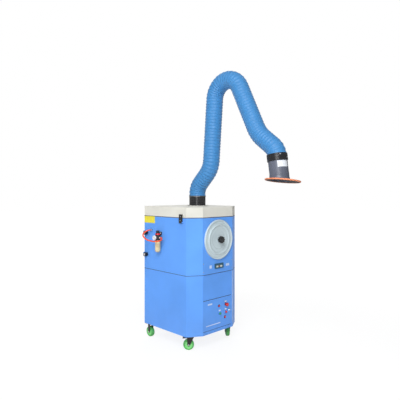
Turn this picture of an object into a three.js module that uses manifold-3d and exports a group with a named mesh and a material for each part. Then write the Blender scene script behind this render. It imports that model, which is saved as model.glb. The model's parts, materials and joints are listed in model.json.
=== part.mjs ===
// Mobile welding fume extractor: a steel cabinet on casters with a filter, a fan and a hose arm.
// Millimetres, +Z up. The front faces -Y and the floor lies under the cabinet's middle.
import * as THREE from "three";
import { mergeVertices } from "three/addons/utils/BufferGeometryUtils.js";
import Module from "manifold-3d";

const wasm = await Module();
wasm.setup();

const degree = Math.PI / 180;
const quarterTurn = Math.PI / 2;

// Running gap between pieces, and how far a cutting tool passes its face
const gap = 0.3;
const overrun = 4;

// Cabinet
const sheet = 2;
const cabinetWidth = 670;
const cabinetDepth = 700;
const cornerCutWidth = 130;
const cornerCutDepth = 84;
const casterHeight = 135;
const lowerHeight = 552;
const upperHeight = 528;
const lidHeight = 94;
const deckInset = 0.8;
const panThickness = 3;
const panelFlange = 16;
const panelGap = 0.8;
const panelThickness = 1.5;
const doorRise = 34;
const doorHeight = 278;
const frontBar = 5;
const panelMarginLeft = 5;
const panelMarginRight = 25;
const panelLeft = -(cabinetWidth / 2 - cornerCutWidth - panelMarginLeft);
const panelRight = cabinetWidth / 2 - cornerCutWidth - panelMarginRight;

// Filter
const filterHeight = 314;
const filterRadius = 160;
const filterBore = 100;
const filterCap = 10;
const pleatCount = 24;
const pleatDepth = 24;
const portRadius = 172;
const coverRadius = 190;
const coverRim = 26;
const rodRadius = 6;
const cleanDepth = 230;
const chamberDepth = cabinetDepth - cleanDepth;
const knobRadius = 33;
const knobDepth = 35;
const knobNeck = 12;

// Dust drawer on its runners
const drawerMarginFront = 125;
const drawerMarginBack = 65;
const drawerWidth = chamberDepth - drawerMarginFront - drawerMarginBack;
const drawerLength = 400;
const drawerHeight = 92;
const drawerFront = 12;
const runnerHeight = 10;
const runnerWidth = 10;

// Fan
const fanSetback = 145;
const fanY = cabinetDepth / 2 - fanSetback;
const wheelRadius = 108;
const wheelHeight = 66;
const bladeCount = 9;
const housingHeight = 96;
const inletRadius = 74;
const shaftRadius = 9;
const motorRadius = 75;
const motorHeight = 190;

// Pulse tank
const tankRadius = 44;
const tankLength = 420;
const tankDrop = 80;

// Casters
const tyreRadius = 50;
const tyreWidth = 32;
const casterTrail = 25;
const casterPlate = 4;
const plateWidth = 78;
const axleRadius = 6;
const forkSheet = 4;
const frontCasterInset = 83;
const frontCasterSetback = 102;
const rearCasterInset = 42;
const rearCasterSetback = 44;

// Hose and arm: runs and bends of the hose's middle line, from the collar to the hood
const hoseCrest = 81.5;
const hoseValley = 75;
const hoseBore = 58;
const ribPitch = 28;
const hoseSides = 8;
const ribsPerBoreRing = 5;
const collarY = -69;
const collarHeight = 93;
const collarRadius = 80;
const collarBase = 36;
const armRadius = 13;
const armWall = 3;
const pinRadius = 5;
const eyeRadius = 15;
const eyeWidth = 18;
const cheekThickness = 5;
const footRun = 29;
const footRadius = 144;
const neckRun = 123;
const neckRadius = 207;
const riseRun = 580;
const crownRadius = 163;
const reachRun = 421;
const reachRadius = 268;
const dropRun = 126;
const dropRadius = 127;
const tailRun = 8;
const hoseRoute = [
  { run: footRun, bend: 45.4, radius: footRadius },
  { run: neckRun, bend: -41, radius: neckRadius },
  { run: riseRun, bend: 150.2, radius: crownRadius },
  { run: reachRun, bend: -26.1, radius: reachRadius },
  { run: dropRun, bend: 43.5, radius: dropRadius },
  { run: tailRun, bend: 0, radius: 0 },
];

// Hood
const cuffHeight = 42;
const cuffLap = 16;
const cuffRadius = 86;
const hoodRadius = 80;
const hoodWall = 2.5;
const hoodLength = 208;
const flangeRadius = 142;
const flangeThickness = 3;
const flangeOffset = 26;
const flangeRoll = 6;
const flangePitch = 1.5;
const rimThickness = 6;
const rimSides = 36;
const rimCrestShare = 1.5;

// Heights that follow from the driving sizes
const baseZ = casterHeight;
const seamZ = baseZ + lowerHeight;
const lidZ = seamZ + upperHeight;
const topZ = lidZ + lidHeight;
const deckBottom = seamZ - sheet / 2;
const deckTop = seamZ + sheet / 2;
const frontY = -cabinetDepth / 2;
const backY = cabinetDepth / 2;
const leftX = -cabinetWidth / 2;
const rightX = cabinetWidth / 2;
const filterZ = deckTop + filterHeight;
const tubeSheetY = frontY + chamberDepth;

// Solids from three.js geometry

function toSolid(geometry) {
  const bare = geometry.index ? geometry.toNonIndexed() : geometry.clone();
  bare.deleteAttribute("normal");
  bare.deleteAttribute("uv");
  const merged = mergeVertices(bare);
  const triVerts = new Uint32Array(merged.index.array);
  const vertProperties = merged.attributes.position.array;
  const solid = new wasm.Manifold(new wasm.Mesh({ numProp: 3, vertProperties, triVerts }));
  if (solid.volume() >= 0) return solid;
  for (let i = 0; i < triVerts.length; i += 3) {
    [triVerts[i + 1], triVerts[i + 2]] = [triVerts[i + 2], triVerts[i + 1]];
  }
  return new wasm.Manifold(new wasm.Mesh({ numProp: 3, vertProperties, triVerts }));
}

function toGeometry(solid) {
  const { vertProperties, triVerts } = solid.getMesh();
  const geometry = new THREE.BufferGeometry();
  geometry.setAttribute("position", new THREE.BufferAttribute(vertProperties, 3));
  geometry.setIndex(new THREE.BufferAttribute(triVerts, 1));
  geometry.computeVertexNormals();
  return geometry;
}

const join = (...solids) => solids.reduce((whole, piece) => whole.add(piece));
const cut = (solid, ...tools) => tools.reduce((rest, tool) => rest.subtract(tool), solid);

// Box between two corners
function block(low, high) {
  const size = high.map((value, axis) => value - low[axis]);
  const middle = high.map((value, axis) => (value + low[axis]) / 2);
  return toSolid(new THREE.BoxGeometry(...size).translate(...middle));
}

// Turns a geometry's +Z axis to a named side
const facing = {
  up: (geometry) => geometry,
  front: (geometry) => geometry.rotateX(quarterTurn),
  back: (geometry) => geometry.rotateX(-quarterTurn),
  left: (geometry) => geometry.rotateY(-quarterTurn),
  right: (geometry) => geometry.rotateY(quarterTurn),
};

// Turned piece: a profile of [radius, height] points, spun about its axis and stood at a place
function turned(profile, sides, side = "up", at = [0, 0, 0]) {
  const points = profile.map(([radius, height]) => new THREE.Vector2(radius, height));
  const geometry = new THREE.LatheGeometry(points, sides).rotateX(quarterTurn);
  return toSolid(facing[side](geometry).translate(...at));
}

const rodProfile = (radius, low, high) => [[0, low], [radius, low], [radius, high], [0, high]];
const tubeProfile = (bore, radius, low, high) => [
  [bore, low],
  [radius, low],
  [radius, high],
  [bore, high],
  [bore, low],
];

// The bore in which a round piece of as many sides turns freely
const boreFor = (radius, sides) => (radius + gap) / Math.cos(Math.PI / sides);

// Outline of points, extruded along its own +Z, then turned to a side and moved
function extruded(points, low, high, side = "up", at = [0, 0, 0]) {
  const shape = new THREE.Shape(points.map(([x, y]) => new THREE.Vector2(x, y)));
  const geometry = new THREE.ExtrudeGeometry(shape, { depth: high - low, bevelEnabled: false });
  return toSolid(facing[side](geometry.translate(0, 0, low)).translate(...at));
}

const arcPoints = (radius, count, radiusAt = () => radius) =>
  Array.from({ length: count }, (_, i) => {
    const angle = (i / count) * 2 * Math.PI;
    return [radiusAt(i) * Math.cos(angle), radiusAt(i) * Math.sin(angle)];
  });

const finish = (color, roughness, metalness) => ({ color, roughness, metalness });
const looks = {
  blue: finish(0x5f9fee, 0.4, 0.1),
  cream: finish(0xe6e5dc, 0.5, 0.1),
  cover: finish(0xb8cad0, 0.35, 0.3),
  black: finish(0x1d1e20, 0.5, 0),
  steel: finish(0x9a9da0, 0.35, 0.9),
  dark: finish(0x54575f, 0.4, 0.6),
  green: finish(0x57b35a, 0.5, 0),
  white: finish(0xe8e6df, 0.8, 0),
  hose: finish(0x3f8bd0, 0.55, 0),
  orange: finish(0xf0855a, 0.5, 0),
  airHose: finish(0xff5a35, 0.35, 0),
  amber: finish(0xe6d0a0, 0.2, 0),
  brass: finish(0xc9a24a, 0.3, 0.9),
  red: finish(0xd81f25, 0.3, 0),
  greenCap: finish(0x22a566, 0.3, 0),
  teal: finish(0x1f5a6e, 0.4, 0),
};

function addPart(group, name, solid, look, at = [0, 0, 0]) {
  const mesh = new THREE.Mesh(toGeometry(solid), new THREE.MeshStandardMaterial(look));
  mesh.name = name;
  mesh.position.set(...at);
  group.add(mesh);
  return mesh;
}

function addGroup(parent, at, turn = [0, 0, 0]) {
  const group = new THREE.Group();
  group.position.set(...at);
  group.rotation.set(...turn);
  parent.add(group);
  return group;
}

// The cabinet's plan, drawn in by an inset: square behind, with cut corners in front
function planOutline(inset) {
  const diagonal = Math.hypot(cornerCutWidth, cornerCutDepth);
  const side = rightX - inset;
  const back = backY - inset;
  const shoulder = (inset * (diagonal - cornerCutDepth)) / cornerCutWidth;
  const nose = (inset * (diagonal - cornerCutWidth)) / cornerCutDepth;
  const front = rightX - cornerCutWidth - nose;
  const cutY = frontY + cornerCutDepth + shoulder;
  return [
    [-front, -back],
    [front, -back],
    [side, cutY],
    [side, back],
    [-side, back],
    [-side, cutY],
  ];
}

const model = new THREE.Group();

// Shells and deck

// Wall of the cabinet's plan between two heights
function shellRing(low, high) {
  const outside = extruded(planOutline(0), low, high);
  return cut(outside, extruded(planOutline(sheet), low - overrun, high + overrun));
}

// Flanged panel that faces the front, from its low corner to its high one
function flangedPanel(low, high) {
  const body = block(low, high);
  const inner = [low[0] + sheet, low[1] + sheet, low[2] + sheet];
  const hollow = block(inner, [high[0] - sheet, high[1] + overrun, high[2] - sheet]);
  return cut(body, hollow);
}

const doorLow = baseZ + doorRise;
const doorHigh = doorLow + doorHeight;
const coverLow = doorHigh + frontBar;
const coverHigh = deckBottom - frontBar;

// Hole in the front sheet round a panel
const panelHole = (low, high) =>
  block(
    [panelLeft - panelGap, frontY - overrun, low - panelGap],
    [panelRight + panelGap, frontY + sheet + overrun, high + panelGap],
  );

const louvreCount = 8;
const louvreWidth = 280;
const louvreHeight = 9;
const louvrePitch = 22;
const louvreRise = 90;

const basePan = () => extruded(planOutline(sheet + gap), baseZ, baseZ + panThickness);
addPart(model, "base_pan", basePan(), looks.blue);

function lowerShell() {
  let shell = shellRing(baseZ, deckBottom - gap);
  shell = cut(shell, panelHole(doorLow, doorHigh), panelHole(coverLow, coverHigh));
  for (let i = 0; i < louvreCount; i += 1) {
    const low = baseZ + louvreRise + i * louvrePitch;
    const corner = [-louvreWidth / 2, backY - sheet - overrun, low];
    shell = cut(shell, block(corner, [louvreWidth / 2, backY + overrun, low + louvreHeight]));
  }
  return shell;
}
addPart(model, "lower_shell", lowerShell(), looks.blue);

const drawerCentreY = frontY + drawerMarginFront + drawerWidth / 2;
const runnerY = drawerWidth / 2 - runnerWidth * 2;
const drawerLeft = rightX - drawerLength;

function middleDeck() {
  const plate = extruded(planOutline(deckInset), deckBottom, deckTop);
  const runner = (y) =>
    block(
      [drawerLeft, y - runnerWidth / 2, deckBottom],
      [rightX - sheet - gap, y + runnerWidth / 2, deckTop + runnerHeight],
    );
  const inlet = turned(
    rodProfile(inletRadius, deckBottom - overrun, deckTop + overrun),
    24,
    "up",
    [0, fanY, 0],
  );
  return cut(join(plate, runner(drawerCentreY + runnerY), runner(drawerCentreY - runnerY)), inlet);
}
addPart(model, "middle_deck", middleDeck(), looks.steel);

const drawerLow = deckTop + runnerHeight + gap;
const drawerHigh = drawerLow + drawerHeight;
const drawerGap = 2;
const rearSill = 24;
const rearHead = 20;
const rearDoorLow = deckTop + rearSill;
const rearDoorHigh = lidZ - rearHead;

function upperShell() {
  const port = turned(
    rodProfile(portRadius, -overrun, sheet + overrun),
    40,
    "back",
    [0, frontY, filterZ],
  );
  const drawerHole = block(
    [rightX - sheet - overrun, drawerCentreY - drawerWidth / 2 - drawerGap, drawerLow - drawerGap],
    [rightX + overrun, drawerCentreY + drawerWidth / 2 + drawerGap, drawerHigh + drawerGap],
  );
  const rearHole = block(
    [leftX + sheet, backY - sheet - overrun, rearDoorLow],
    [rightX - sheet, backY + overrun, rearDoorHigh],
  );
  const ear = (y) =>
    block(
      [leftX - latchStand - pinEar, y - latchEar / 2, latchPinZ - pinEar],
      [leftX + sheet / 2, y + latchEar / 2, latchPinZ + pinEar],
    );
  const pin = turned(
    rodProfile(latchPin, -latchWidth / 2 - latchEar, latchWidth / 2 + latchEar),
    12,
    "back",
    [leftX - latchStand, latchY, latchPinZ],
  );
  const earY = latchWidth / 2 + gap + latchEar / 2;
  const hinge = join(ear(latchY - earY), ear(latchY + earY), pin);
  const body = cut(shellRing(deckTop + gap, lidZ - gap), port, drawerHole, rearHole);
  return join(body, hinge, mirrored(hinge));
}

// Copy on the other side of the cabinet's middle plane
function mirrored(solid) {
  return toSolid(toGeometry(solid).toNonIndexed().scale(-1, 1, 1));
}

// Toggle latches of the lid: a lever on a pin, whose head hooks over a nub on the lid
const latchY = -205;
const latchWidth = 40;
const latchEar = 3;
const latchPin = 3;
const pinEar = 6;
const latchStand = 10;
const latchDrop = 44;
const latchPinZ = lidZ - latchDrop;
const latchNubRise = 14;
const latchNubHeight = 6;
const latchNubDepth = 6;
const latchBite = 2.5;
const latchThickness = 5;
const latchHead = 9;
const latchWaistShare = 0.6;

addPart(model, "upper_shell", upperShell(), looks.blue);

const frontPanel = (low, high) =>
  flangedPanel([panelLeft, frontY, low], [panelRight, frontY + panelFlange, high]);
addPart(model, "front_cover", frontPanel(coverLow, coverHigh), looks.blue);

// Filter chamber

const flangeReach = 205;
const sheetSides = 32;
const rodProud = 8;
const studRadius = 4;
const studDepth = 24;

// Bent plate with the filter's outlet and, welded across it, the rod that the knob's stud enters
function tubeSheet() {
  const side = rightX - sheet - gap;
  const high = lidZ - gap;
  const wall = block([-side, tubeSheetY, deckTop + gap], [side, tubeSheetY + sheet, high]);
  const roof = block([-side, tubeSheetY, high - sheet], [side, tubeSheetY + flangeReach, high]);
  const outlet = turned(
    rodProfile(filterBore, -overrun, sheet + overrun),
    sheetSides,
    "back",
    [0, tubeSheetY, filterZ],
  );
  const bar = block(
    [-filterBore - overrun, tubeSheetY, filterZ - rodRadius],
    [filterBore + overrun, tubeSheetY + sheet, filterZ + rodRadius],
  );
  const rod = turned(
    rodProfile(rodRadius, 0, tubeSheetY - frontY + rodProud),
    12,
    "front",
    [0, tubeSheetY, filterZ],
  );
  const thread = turned(
    rodProfile(boreFor(studRadius, 12), rodProud - studDepth - sheet, rodProud + overrun),
    12,
    "front",
    [0, frontY, filterZ],
  );
  return join(cut(join(wall, roof), outlet), bar, cut(rod, thread));
}
addPart(model, "tube_sheet", tubeSheet(), looks.steel);

function filterCartridge() {
  const low = gap;
  const high = tubeSheetY - frontY - gap - sheet;
  const pleat = (i) => (i % 2 ? filterRadius - pleatDepth : filterRadius);
  const pleats = extruded(arcPoints(filterRadius, 2 * pleatCount, pleat), low, high);
  const cap = (at) => turned(rodProfile(filterRadius + sheet, at, at + filterCap), 32);
  const bore = turned(rodProfile(filterBore, low - overrun, high - filterCap), 24);
  const outlet = turned(rodProfile(filterBore, low - overrun, low + filterCap + overrun), 24);
  const rodHole = turned(rodProfile(rodRadius * 2, low, high + overrun), 12);
  return cut(join(pleats, cap(low), cap(high - filterCap)), bore, outlet, rodHole);
}
const cartridge = addPart(model, "filter_cartridge", filterCartridge(), looks.white, [
  0,
  tubeSheetY,
  filterZ,
]);
cartridge.rotation.x = quarterTurn;

// Cover of the filter port: a stepped dish with a rolled rim, held by the star knob
const filterCover = addGroup(model, [0, frontY - gap, filterZ]);
const dishWall = 3;
const stepShare = { inner: 0.45, middle: 0.79, outer: 0.87, roll: 0.93 };
const faceHeight = 15;
const stepHeight = 3;

function coverDish() {
  const hole = studRadius + 2 * gap;
  const inner = coverRadius * stepShare.inner;
  const middle = coverRadius * stepShare.middle;
  const outer = coverRadius * stepShare.outer;
  const roll = coverRadius * stepShare.roll;
  const rimStep = (coverRadius - roll) / 3;
  const profile = [
    [hole, faceHeight],
    [inner, faceHeight],
    [inner + stepHeight, faceHeight - stepHeight],
    [middle, faceHeight - stepHeight],
    [outer, faceHeight],
    [outer + stepHeight, faceHeight - stepHeight],
    [roll, coverRim - stepHeight],
    [roll + rimStep, coverRim],
    [coverRadius - rimStep, coverRim],
    [coverRadius, coverRim - stepHeight],
    [coverRadius, 0],
    [coverRadius - dishWall, 0],
    [coverRadius - dishWall, faceHeight - 2 * stepHeight - dishWall / 2],
    [hole, faceHeight - stepHeight - dishWall],
    [hole, faceHeight],
  ];
  return turned(profile, 32, "front");
}
addPart(filterCover, "filter_cover", coverDish(), looks.cover);

const lobeCount = 8;
const lobeSteps = 6;
const lobeShare = 0.11;

const insertRadius = 11;
const insertEnd = faceHeight + knobNeck + knobDepth / 4;

// Moulded knob with room for its insert, which is a piece of its own
function starKnob() {
  const low = faceHeight + gap;
  const wave = (i) => knobRadius * (1 - lobeShare + lobeShare * Math.cos((i / lobeSteps) * 2 * Math.PI));
  const star = arcPoints(knobRadius, lobeCount * lobeSteps, wave);
  const neck = turned(rodProfile(knobRadius / 2, low, low + knobNeck + sheet), 20, "front");
  const head = extruded(star, low + knobNeck, low + knobNeck + knobDepth, "front");
  const bore = turned(rodProfile(boreFor(insertRadius, 12), low - overrun, insertEnd), 12, "front");
  return cut(join(neck, head), bore);
}
addPart(filterCover, "star_knob", starKnob(), looks.black);

// Insert with the stud that passes through the cover into the rod
function knobInsert() {
  const low = faceHeight + gap;
  const body = turned(rodProfile(insertRadius, low, insertEnd - gap), 12, "front");
  return join(body, turned(rodProfile(studRadius, rodProud - studDepth, insertEnd / 2), 12, "front"));
}
addPart(filterCover, "knob_insert", knobInsert(), looks.brass);

const drawer = addGroup(model, [rightX, drawerCentreY, drawerLow]);
const drawerLap = 8;
const gripWidth = 110;
const gripHeight = 26;
const gripDepth = 20;
const gripWall = 3;

// Open tray behind a face plate with a pull
function dustDrawer() {
  const half = drawerWidth / 2;
  const tray = cut(
    block([-drawerLength + gap, -half, 0], [gap, half, drawerHeight]),
    block(
      [-drawerLength + gap + sheet, -half + sheet, sheet],
      [gap - sheet, half - sheet, drawerHeight + overrun],
    ),
  );
  const face = block(
    [gap, -half - drawerLap, -drawerLap],
    [gap + drawerFront, half + drawerLap, drawerHeight + drawerLap],
  );
  const middle = drawerHeight / 2;
  const grip = cut(
    block(
      [gap, -gripWidth / 2, middle - gripHeight / 2],
      [gap + drawerFront + gripDepth, gripWidth / 2, middle + gripHeight / 2],
    ),
    block(
      [gap + drawerFront, -gripWidth / 2 + gripWall, middle - gripHeight / 2 - overrun],
      [gap + drawerFront + gripDepth - gripWall, gripWidth / 2 - gripWall, middle + gripHeight / 4],
    ),
  );
  return join(tray, face, grip);
}
addPart(drawer, "dust_drawer", dustDrawer(), looks.blue);

const tankZ = lidZ - gap - sheet - tankDrop;
const tankY = tubeSheetY + flangeReach / 2;
const tankBracketWidth = 30;
const tankBracketX = tankLength / 3;
const tankEndShare = 0.7;
const valveRadius = 34;
const valveHeight = 60;
const nozzleRadius = 14;

// Compressed air tank under the roof of the clean side, with its pulse valve and nozzle
function airTank() {
  const barrel = turned(
    [
      [0, -tankLength / 2],
      [tankRadius * tankEndShare, -tankLength / 2],
      [tankRadius, -tankLength / 2 + tankRadius / 3],
      [tankRadius, tankLength / 2 - tankRadius / 3],
      [tankRadius * tankEndShare, tankLength / 2],
      [0, tankLength / 2],
    ],
    20,
    "right",
    [0, tankY, tankZ],
  );
  const bracket = (x) =>
    block(
      [x - tankBracketWidth / 2, tankY - tankRadius / 2, tankZ],
      [x + tankBracketWidth / 2, tankY + tankRadius / 2, lidZ - 2 * gap - sheet],
    );
  const valve = turned(rodProfile(valveRadius, -valveHeight - tankRadius, 0), 20, "up", [
    0,
    tankY,
    tankZ,
  ]);
  const nozzleZ = tankZ - tankRadius - valveHeight / 2;
  const nozzle = turned(
    rodProfile(nozzleRadius, 0, tankY - tubeSheetY - 2 * sheet - overrun),
    12,
    "front",
    [0, tankY, nozzleZ],
  );
  return join(barrel, bracket(-tankBracketX), bracket(tankBracketX), valve, nozzle);
}
addPart(model, "air_tank", airTank(), looks.dark);

// Fan under the deck

const housingTop = deckBottom - gap;
const housingBottom = housingTop - housingHeight;
const scrollRadius = 120;
const scrollGrowth = 50;
const scrollSteps = 24;
const fanSheet = 2;

function fanHousing() {
  const spiral = (extra) =>
    Array.from({ length: scrollSteps }, (_, i) => {
      const turn = i / scrollSteps;
      const radius = scrollRadius + scrollGrowth * turn + extra;
      const angle = turn * 2 * Math.PI;
      return [radius * Math.cos(angle), radius * Math.sin(angle)];
    });
  const at = [0, fanY, 0];
  const body = extruded(spiral(0), housingBottom, housingTop, "up", at);
  const hollow = extruded(spiral(-fanSheet), housingBottom + fanSheet, housingTop - fanSheet, "up", at);
  const mouth = block(
    [scrollRadius + 2 * fanSheet, fanY - scrollGrowth, housingBottom + 2 * fanSheet],
    [scrollRadius + scrollGrowth - 5 * fanSheet, fanY, housingTop - 2 * fanSheet],
  );
  const inlet = turned(rodProfile(inletRadius, housingTop - overrun, housingTop + overrun), 24, "up", at);
  const shaftHole = turned(
    rodProfile(shaftRadius * 2, housingBottom - overrun, housingBottom + overrun),
    16,
    "up",
    at,
  );
  return cut(body, hollow, inlet, shaftHole, mouth);
}
addPart(model, "fan_housing", fanHousing(), looks.dark);

const wheelLift = 8;
const wheelPlate = 3;
const bladeThickness = 2;
const hubRadius = 20;
const hubHeight = 28;

function fanWheel() {
  const plate = turned(rodProfile(wheelRadius, 0, wheelPlate), 30);
  const shroud = turned(
    tubeProfile(inletRadius, wheelRadius, wheelHeight - wheelPlate, wheelHeight),
    30,
  );
  const hub = turned(rodProfile(hubRadius, 0, hubHeight), 16);
  const bore = turned(rodProfile(boreFor(shaftRadius, 12), -overrun, hubHeight - wheelPlate), 12);
  const blades = Array.from({ length: bladeCount }, (_, i) => {
    const blade = new THREE.BoxGeometry(
      wheelRadius - inletRadius / 2,
      bladeThickness,
      wheelHeight - wheelPlate,
    );
    blade.rotateZ(-quarterTurn / 3);
    blade.translate((wheelRadius + inletRadius / 2) / 2 - 2 * bladeThickness, 0, wheelHeight / 2);
    blade.rotateZ((i / bladeCount) * 2 * Math.PI);
    return toSolid(blade);
  });
  const disc = turned(rodProfile(wheelRadius, 0, wheelHeight), 30);
  return cut(join(plate, shroud, hub, join(...blades).intersect(disc)), bore);
}
const wheelZ = housingBottom + wheelLift;
addPart(model, "fan_wheel", fanWheel(), looks.steel, [0, fanY, wheelZ]);

const motorFlange = 8;
const terminalShare = 0.75;
const finShare = 0.93;
const terminalWidth = 70;
const terminalDepth = 34;
const finCount = 12;

function fanMotor() {
  const top = housingBottom - gap;
  const fin = (i) => (i % 2 ? motorRadius : motorRadius * finShare);
  const frame = extruded(
    arcPoints(motorRadius, 2 * finCount, fin),
    top - motorHeight,
    top - motorFlange,
    "up",
  );
  const flange = turned(rodProfile(motorRadius + motorFlange, top - motorFlange, top), 24);
  const shaftTop = wheelZ + hubHeight - wheelPlate - gap;
  const shaft = turned(rodProfile(shaftRadius, top - overrun, shaftTop), 12);
  const box = block(
    [-terminalWidth / 2, -motorRadius - terminalDepth, top - motorHeight * terminalShare],
    [terminalWidth / 2, 0, top - motorHeight * (1 - terminalShare)],
  );
  return join(frame, flange, shaft, box);
}
addPart(model, "fan_motor", fanMotor(), looks.dark, [0, fanY, 0]);

// Rear service door on two hinges at the left rear corner

const rearDoorDepth = 16;
const barrelRadius = 7;
const barrelHeight = 36;
const leafThickness = 3;
const leafLength = 45;
const hingeLowShare = 0.24;
const hingeHighShare = 0.685;
const bossRadius = 19;
const bossHeight = 36;
const bossSetback = 42;
const rearDoorGap = 0.8;
const hingeX = leftX - gap - leafThickness / 2;
const hingeY = backY + barrelRadius;
const rearDoor = addGroup(model, [hingeX, hingeY, 0]);
const hingeHeights = [hingeLowShare, hingeHighShare].map(
  (share) => rearDoorLow + (rearDoorHigh - rearDoorLow) * share,
);

const hingePinBore = boreFor(pinRadius, 12);
hingeHeights.forEach((height, index) => {
  const leaf = block(
    [leftX - gap - leafThickness, backY - leafLength, height - barrelHeight / 2],
    [leftX - gap, hingeY, height + barrelHeight / 2],
  );
  const clear = turned(
    rodProfile(barrelRadius + gap, height, height + barrelHeight),
    16,
    "up",
    [hingeX, hingeY, 0],
  );
  const barrel = turned(
    rodProfile(barrelRadius, height - barrelHeight / 2, height - gap),
    16,
    "up",
    [hingeX, hingeY, 0],
  );
  const pin = turned(
    rodProfile(pinRadius, height - barrelHeight / 2, height + barrelHeight / 2),
    12,
    "up",
    [hingeX, hingeY, 0],
  );
  const boss = turned(rodProfile(bossRadius, gap, bossHeight), 16, "left", [
    leftX,
    backY - bossSetback,
    height,
  ]);
  const name = index ? "rear_hinge_upper" : "rear_hinge_lower";
  addPart(model, name, join(cut(leaf, clear), barrel, pin, boss), looks.black);
});

const handleInset = 60;
const handleX = cabinetWidth - handleInset;
const handleZ = (rearDoorLow + rearDoorHigh) / 2;
const handleStem = 9;
const handleLength = 90;
const handleWidth = 20;
const handleProud = 16;

function rearDoorPanel() {
  const low = rearDoorLow + rearDoorGap;
  const high = rearDoorHigh - rearDoorGap;
  const left = leftX + sheet + rearDoorGap - hingeX;
  const right = rightX - sheet - rearDoorGap - hingeX;
  const face = backY - hingeY;
  const body = cut(
    block([left, face - rearDoorDepth, low], [right, face, high]),
    block(
      [left + sheet, face - rearDoorDepth - overrun, low + sheet],
      [right - sheet, face - sheet, high - sheet],
    ),
  );
  const knuckles = hingeHeights.map((height) =>
    join(
      turned(rodProfile(barrelRadius, height + gap, height + barrelHeight / 2), 16),
      block(
        [0, face + gap, height + gap],
        [leafLength, face + leafThickness, height + barrelHeight / 2],
      ),
      block(
        [left, face - sheet / 2, height + gap],
        [leafLength, face + leafThickness, height + barrelHeight / 2],
      ),
    ),
  );
  const bores = hingeHeights.map((height) =>
    turned(rodProfile(hingePinBore, height, height + barrelHeight), 12),
  );
  const stemHole = turned(
    rodProfile(boreFor(handleStem, 16), -rearDoorDepth, overrun),
    16,
    "back",
    [handleX, face, handleZ],
  );
  return cut(join(body, ...knuckles), ...bores, stemHole);
}
addPart(rearDoor, "rear_door", rearDoorPanel(), looks.blue);

// Swing handle with a stem through the door
function rearHandle() {
  const stem = turned(rodProfile(handleStem, -rearDoorDepth / 2, handleProud / 2), 16, "back");
  const grip = block(
    [-handleWidth / 2, gap, -handleLength],
    [handleWidth / 2, handleProud, handleWidth / 2],
  );
  return join(stem, grip);
}
addPart(rearDoor, "rear_door_handle", rearHandle(), looks.black, [
  handleX,
  backY - hingeY,
  handleZ,
]);

// Control door with its buttons and lamps

const controlDoor = addGroup(model, [panelLeft, frontY, 0]);
const panelWidth = panelRight - panelLeft;
const lampInset = 169;
const startInset = 160;
const stopInset = 76;
const alarmInset = 86;
const lockInset = 24;
const topRise = 203;
const middleRise = 131;
const lowRise = 83;
const lockRise = 139;
const controls = {
  power_lamp: { x: panelWidth - lampInset, z: doorLow + topRise, head: 11, stem: 9 },
  emergency_stop: { x: panelWidth - stopInset, z: doorLow + topRise, head: 20, stem: 11 },
  start_button: { x: panelWidth - startInset, z: doorLow + middleRise, head: 12, stem: 9 },
  stop_button: { x: panelWidth - stopInset, z: doorLow + middleRise, head: 12, stem: 9 },
  alarm_lamp: { x: panelWidth - alarmInset, z: doorLow + lowRise, head: 11, stem: 9 },
  door_lock: { x: panelWidth - lockInset, z: doorLow + lockRise, head: 10, stem: 8 },
};
const controlStem = 34;
const controlHead = 12;
const bezelWall = 3;
const bezelDepth = 5;
const stopNeck = 12;
const lockCam = 34;
const lockCamWidth = 14;

function doorPanel() {
  let panel = flangedPanel([0, 0, doorLow], [panelWidth, panelFlange, doorHigh]);
  Object.entries(controls).forEach(([name, { x, z, head, stem }]) => {
    if (name.endsWith("button")) {
      const bore = boreFor(head, 16);
      const ring = tubeProfile(bore, bore + bezelWall, -sheet / 2, bezelDepth);
      const bezel = turned(ring, 16, "front", [x, 0, z]);
      panel = join(panel, bezel);
    }
    const hole = turned(
      rodProfile(boreFor(stem, 12), -sheet - overrun, overrun),
      12,
      "front",
      [x, 0, z],
    );
    panel = cut(panel, hole);
  });
  return panel;
}
addPart(controlDoor, "control_door", doorPanel(), looks.blue);

const pressTravel = 4;
const domeShare = 0.75;
const lampShare = 0.5;

// Cap or dome on a stem through the door; heads that travel stand clear of the sheet
function control(name, head, stem) {
  const travels = !name.endsWith("lamp") && name !== "door_lock";
  const foot = travels ? pressTravel + 2 * gap : gap;
  const neck = name === "emergency_stop" ? stopNeck : 0;
  const top = foot + neck + controlHead * (travels ? 1 : lampShare);
  const dome = [
    [0, foot + neck],
    [head, foot + neck],
    [head, top - controlHead / 4],
    [head * domeShare, top],
    [0, top],
  ];
  const cap = turned(dome, 16, "front");
  const shank = turned(rodProfile(stem, -controlStem, foot + neck + sheet), 12, "front");
  if (name !== "door_lock") return join(cap, shank);
  const cam = block(
    [-lockCamWidth / 2, panelFlange + 2 * gap, -lockCam],
    [lockCamWidth / 2, panelFlange + 2 * gap + leafThickness, lockCamWidth / 2],
  );
  return join(cap, shank, cam);
}
const controlLooks = {
  power_lamp: looks.red,
  emergency_stop: looks.red,
  start_button: looks.greenCap,
  stop_button: looks.red,
  alarm_lamp: looks.red,
  door_lock: looks.steel,
};
Object.entries(controls).forEach(([name, { x, z, head, stem }]) => {
  addPart(controlDoor, name, control(name, head, stem), controlLooks[name], [x, 0, z]);
});

// Controller display above the seam
const displayWidth = 116;
const displayHeight = 45;
const displayDepth = 9;
const displayX = 8;
const displayRise = 66;

function displayPanel() {
  const half = [displayWidth / 2, displayHeight / 2];
  const frame = block([-half[0], -displayDepth, -half[1]], [half[0], -gap, half[1]]);
  const window = block(
    [-half[0] + bezelDepth, -displayDepth - overrun, -half[1] + bezelDepth],
    [half[0] - bezelDepth, -displayDepth + sheet, half[1] - bezelDepth],
  );
  return cut(frame, window);
}
addPart(model, "display_panel", displayPanel(), looks.teal, [displayX, frontY, seamZ + displayRise]);

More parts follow.
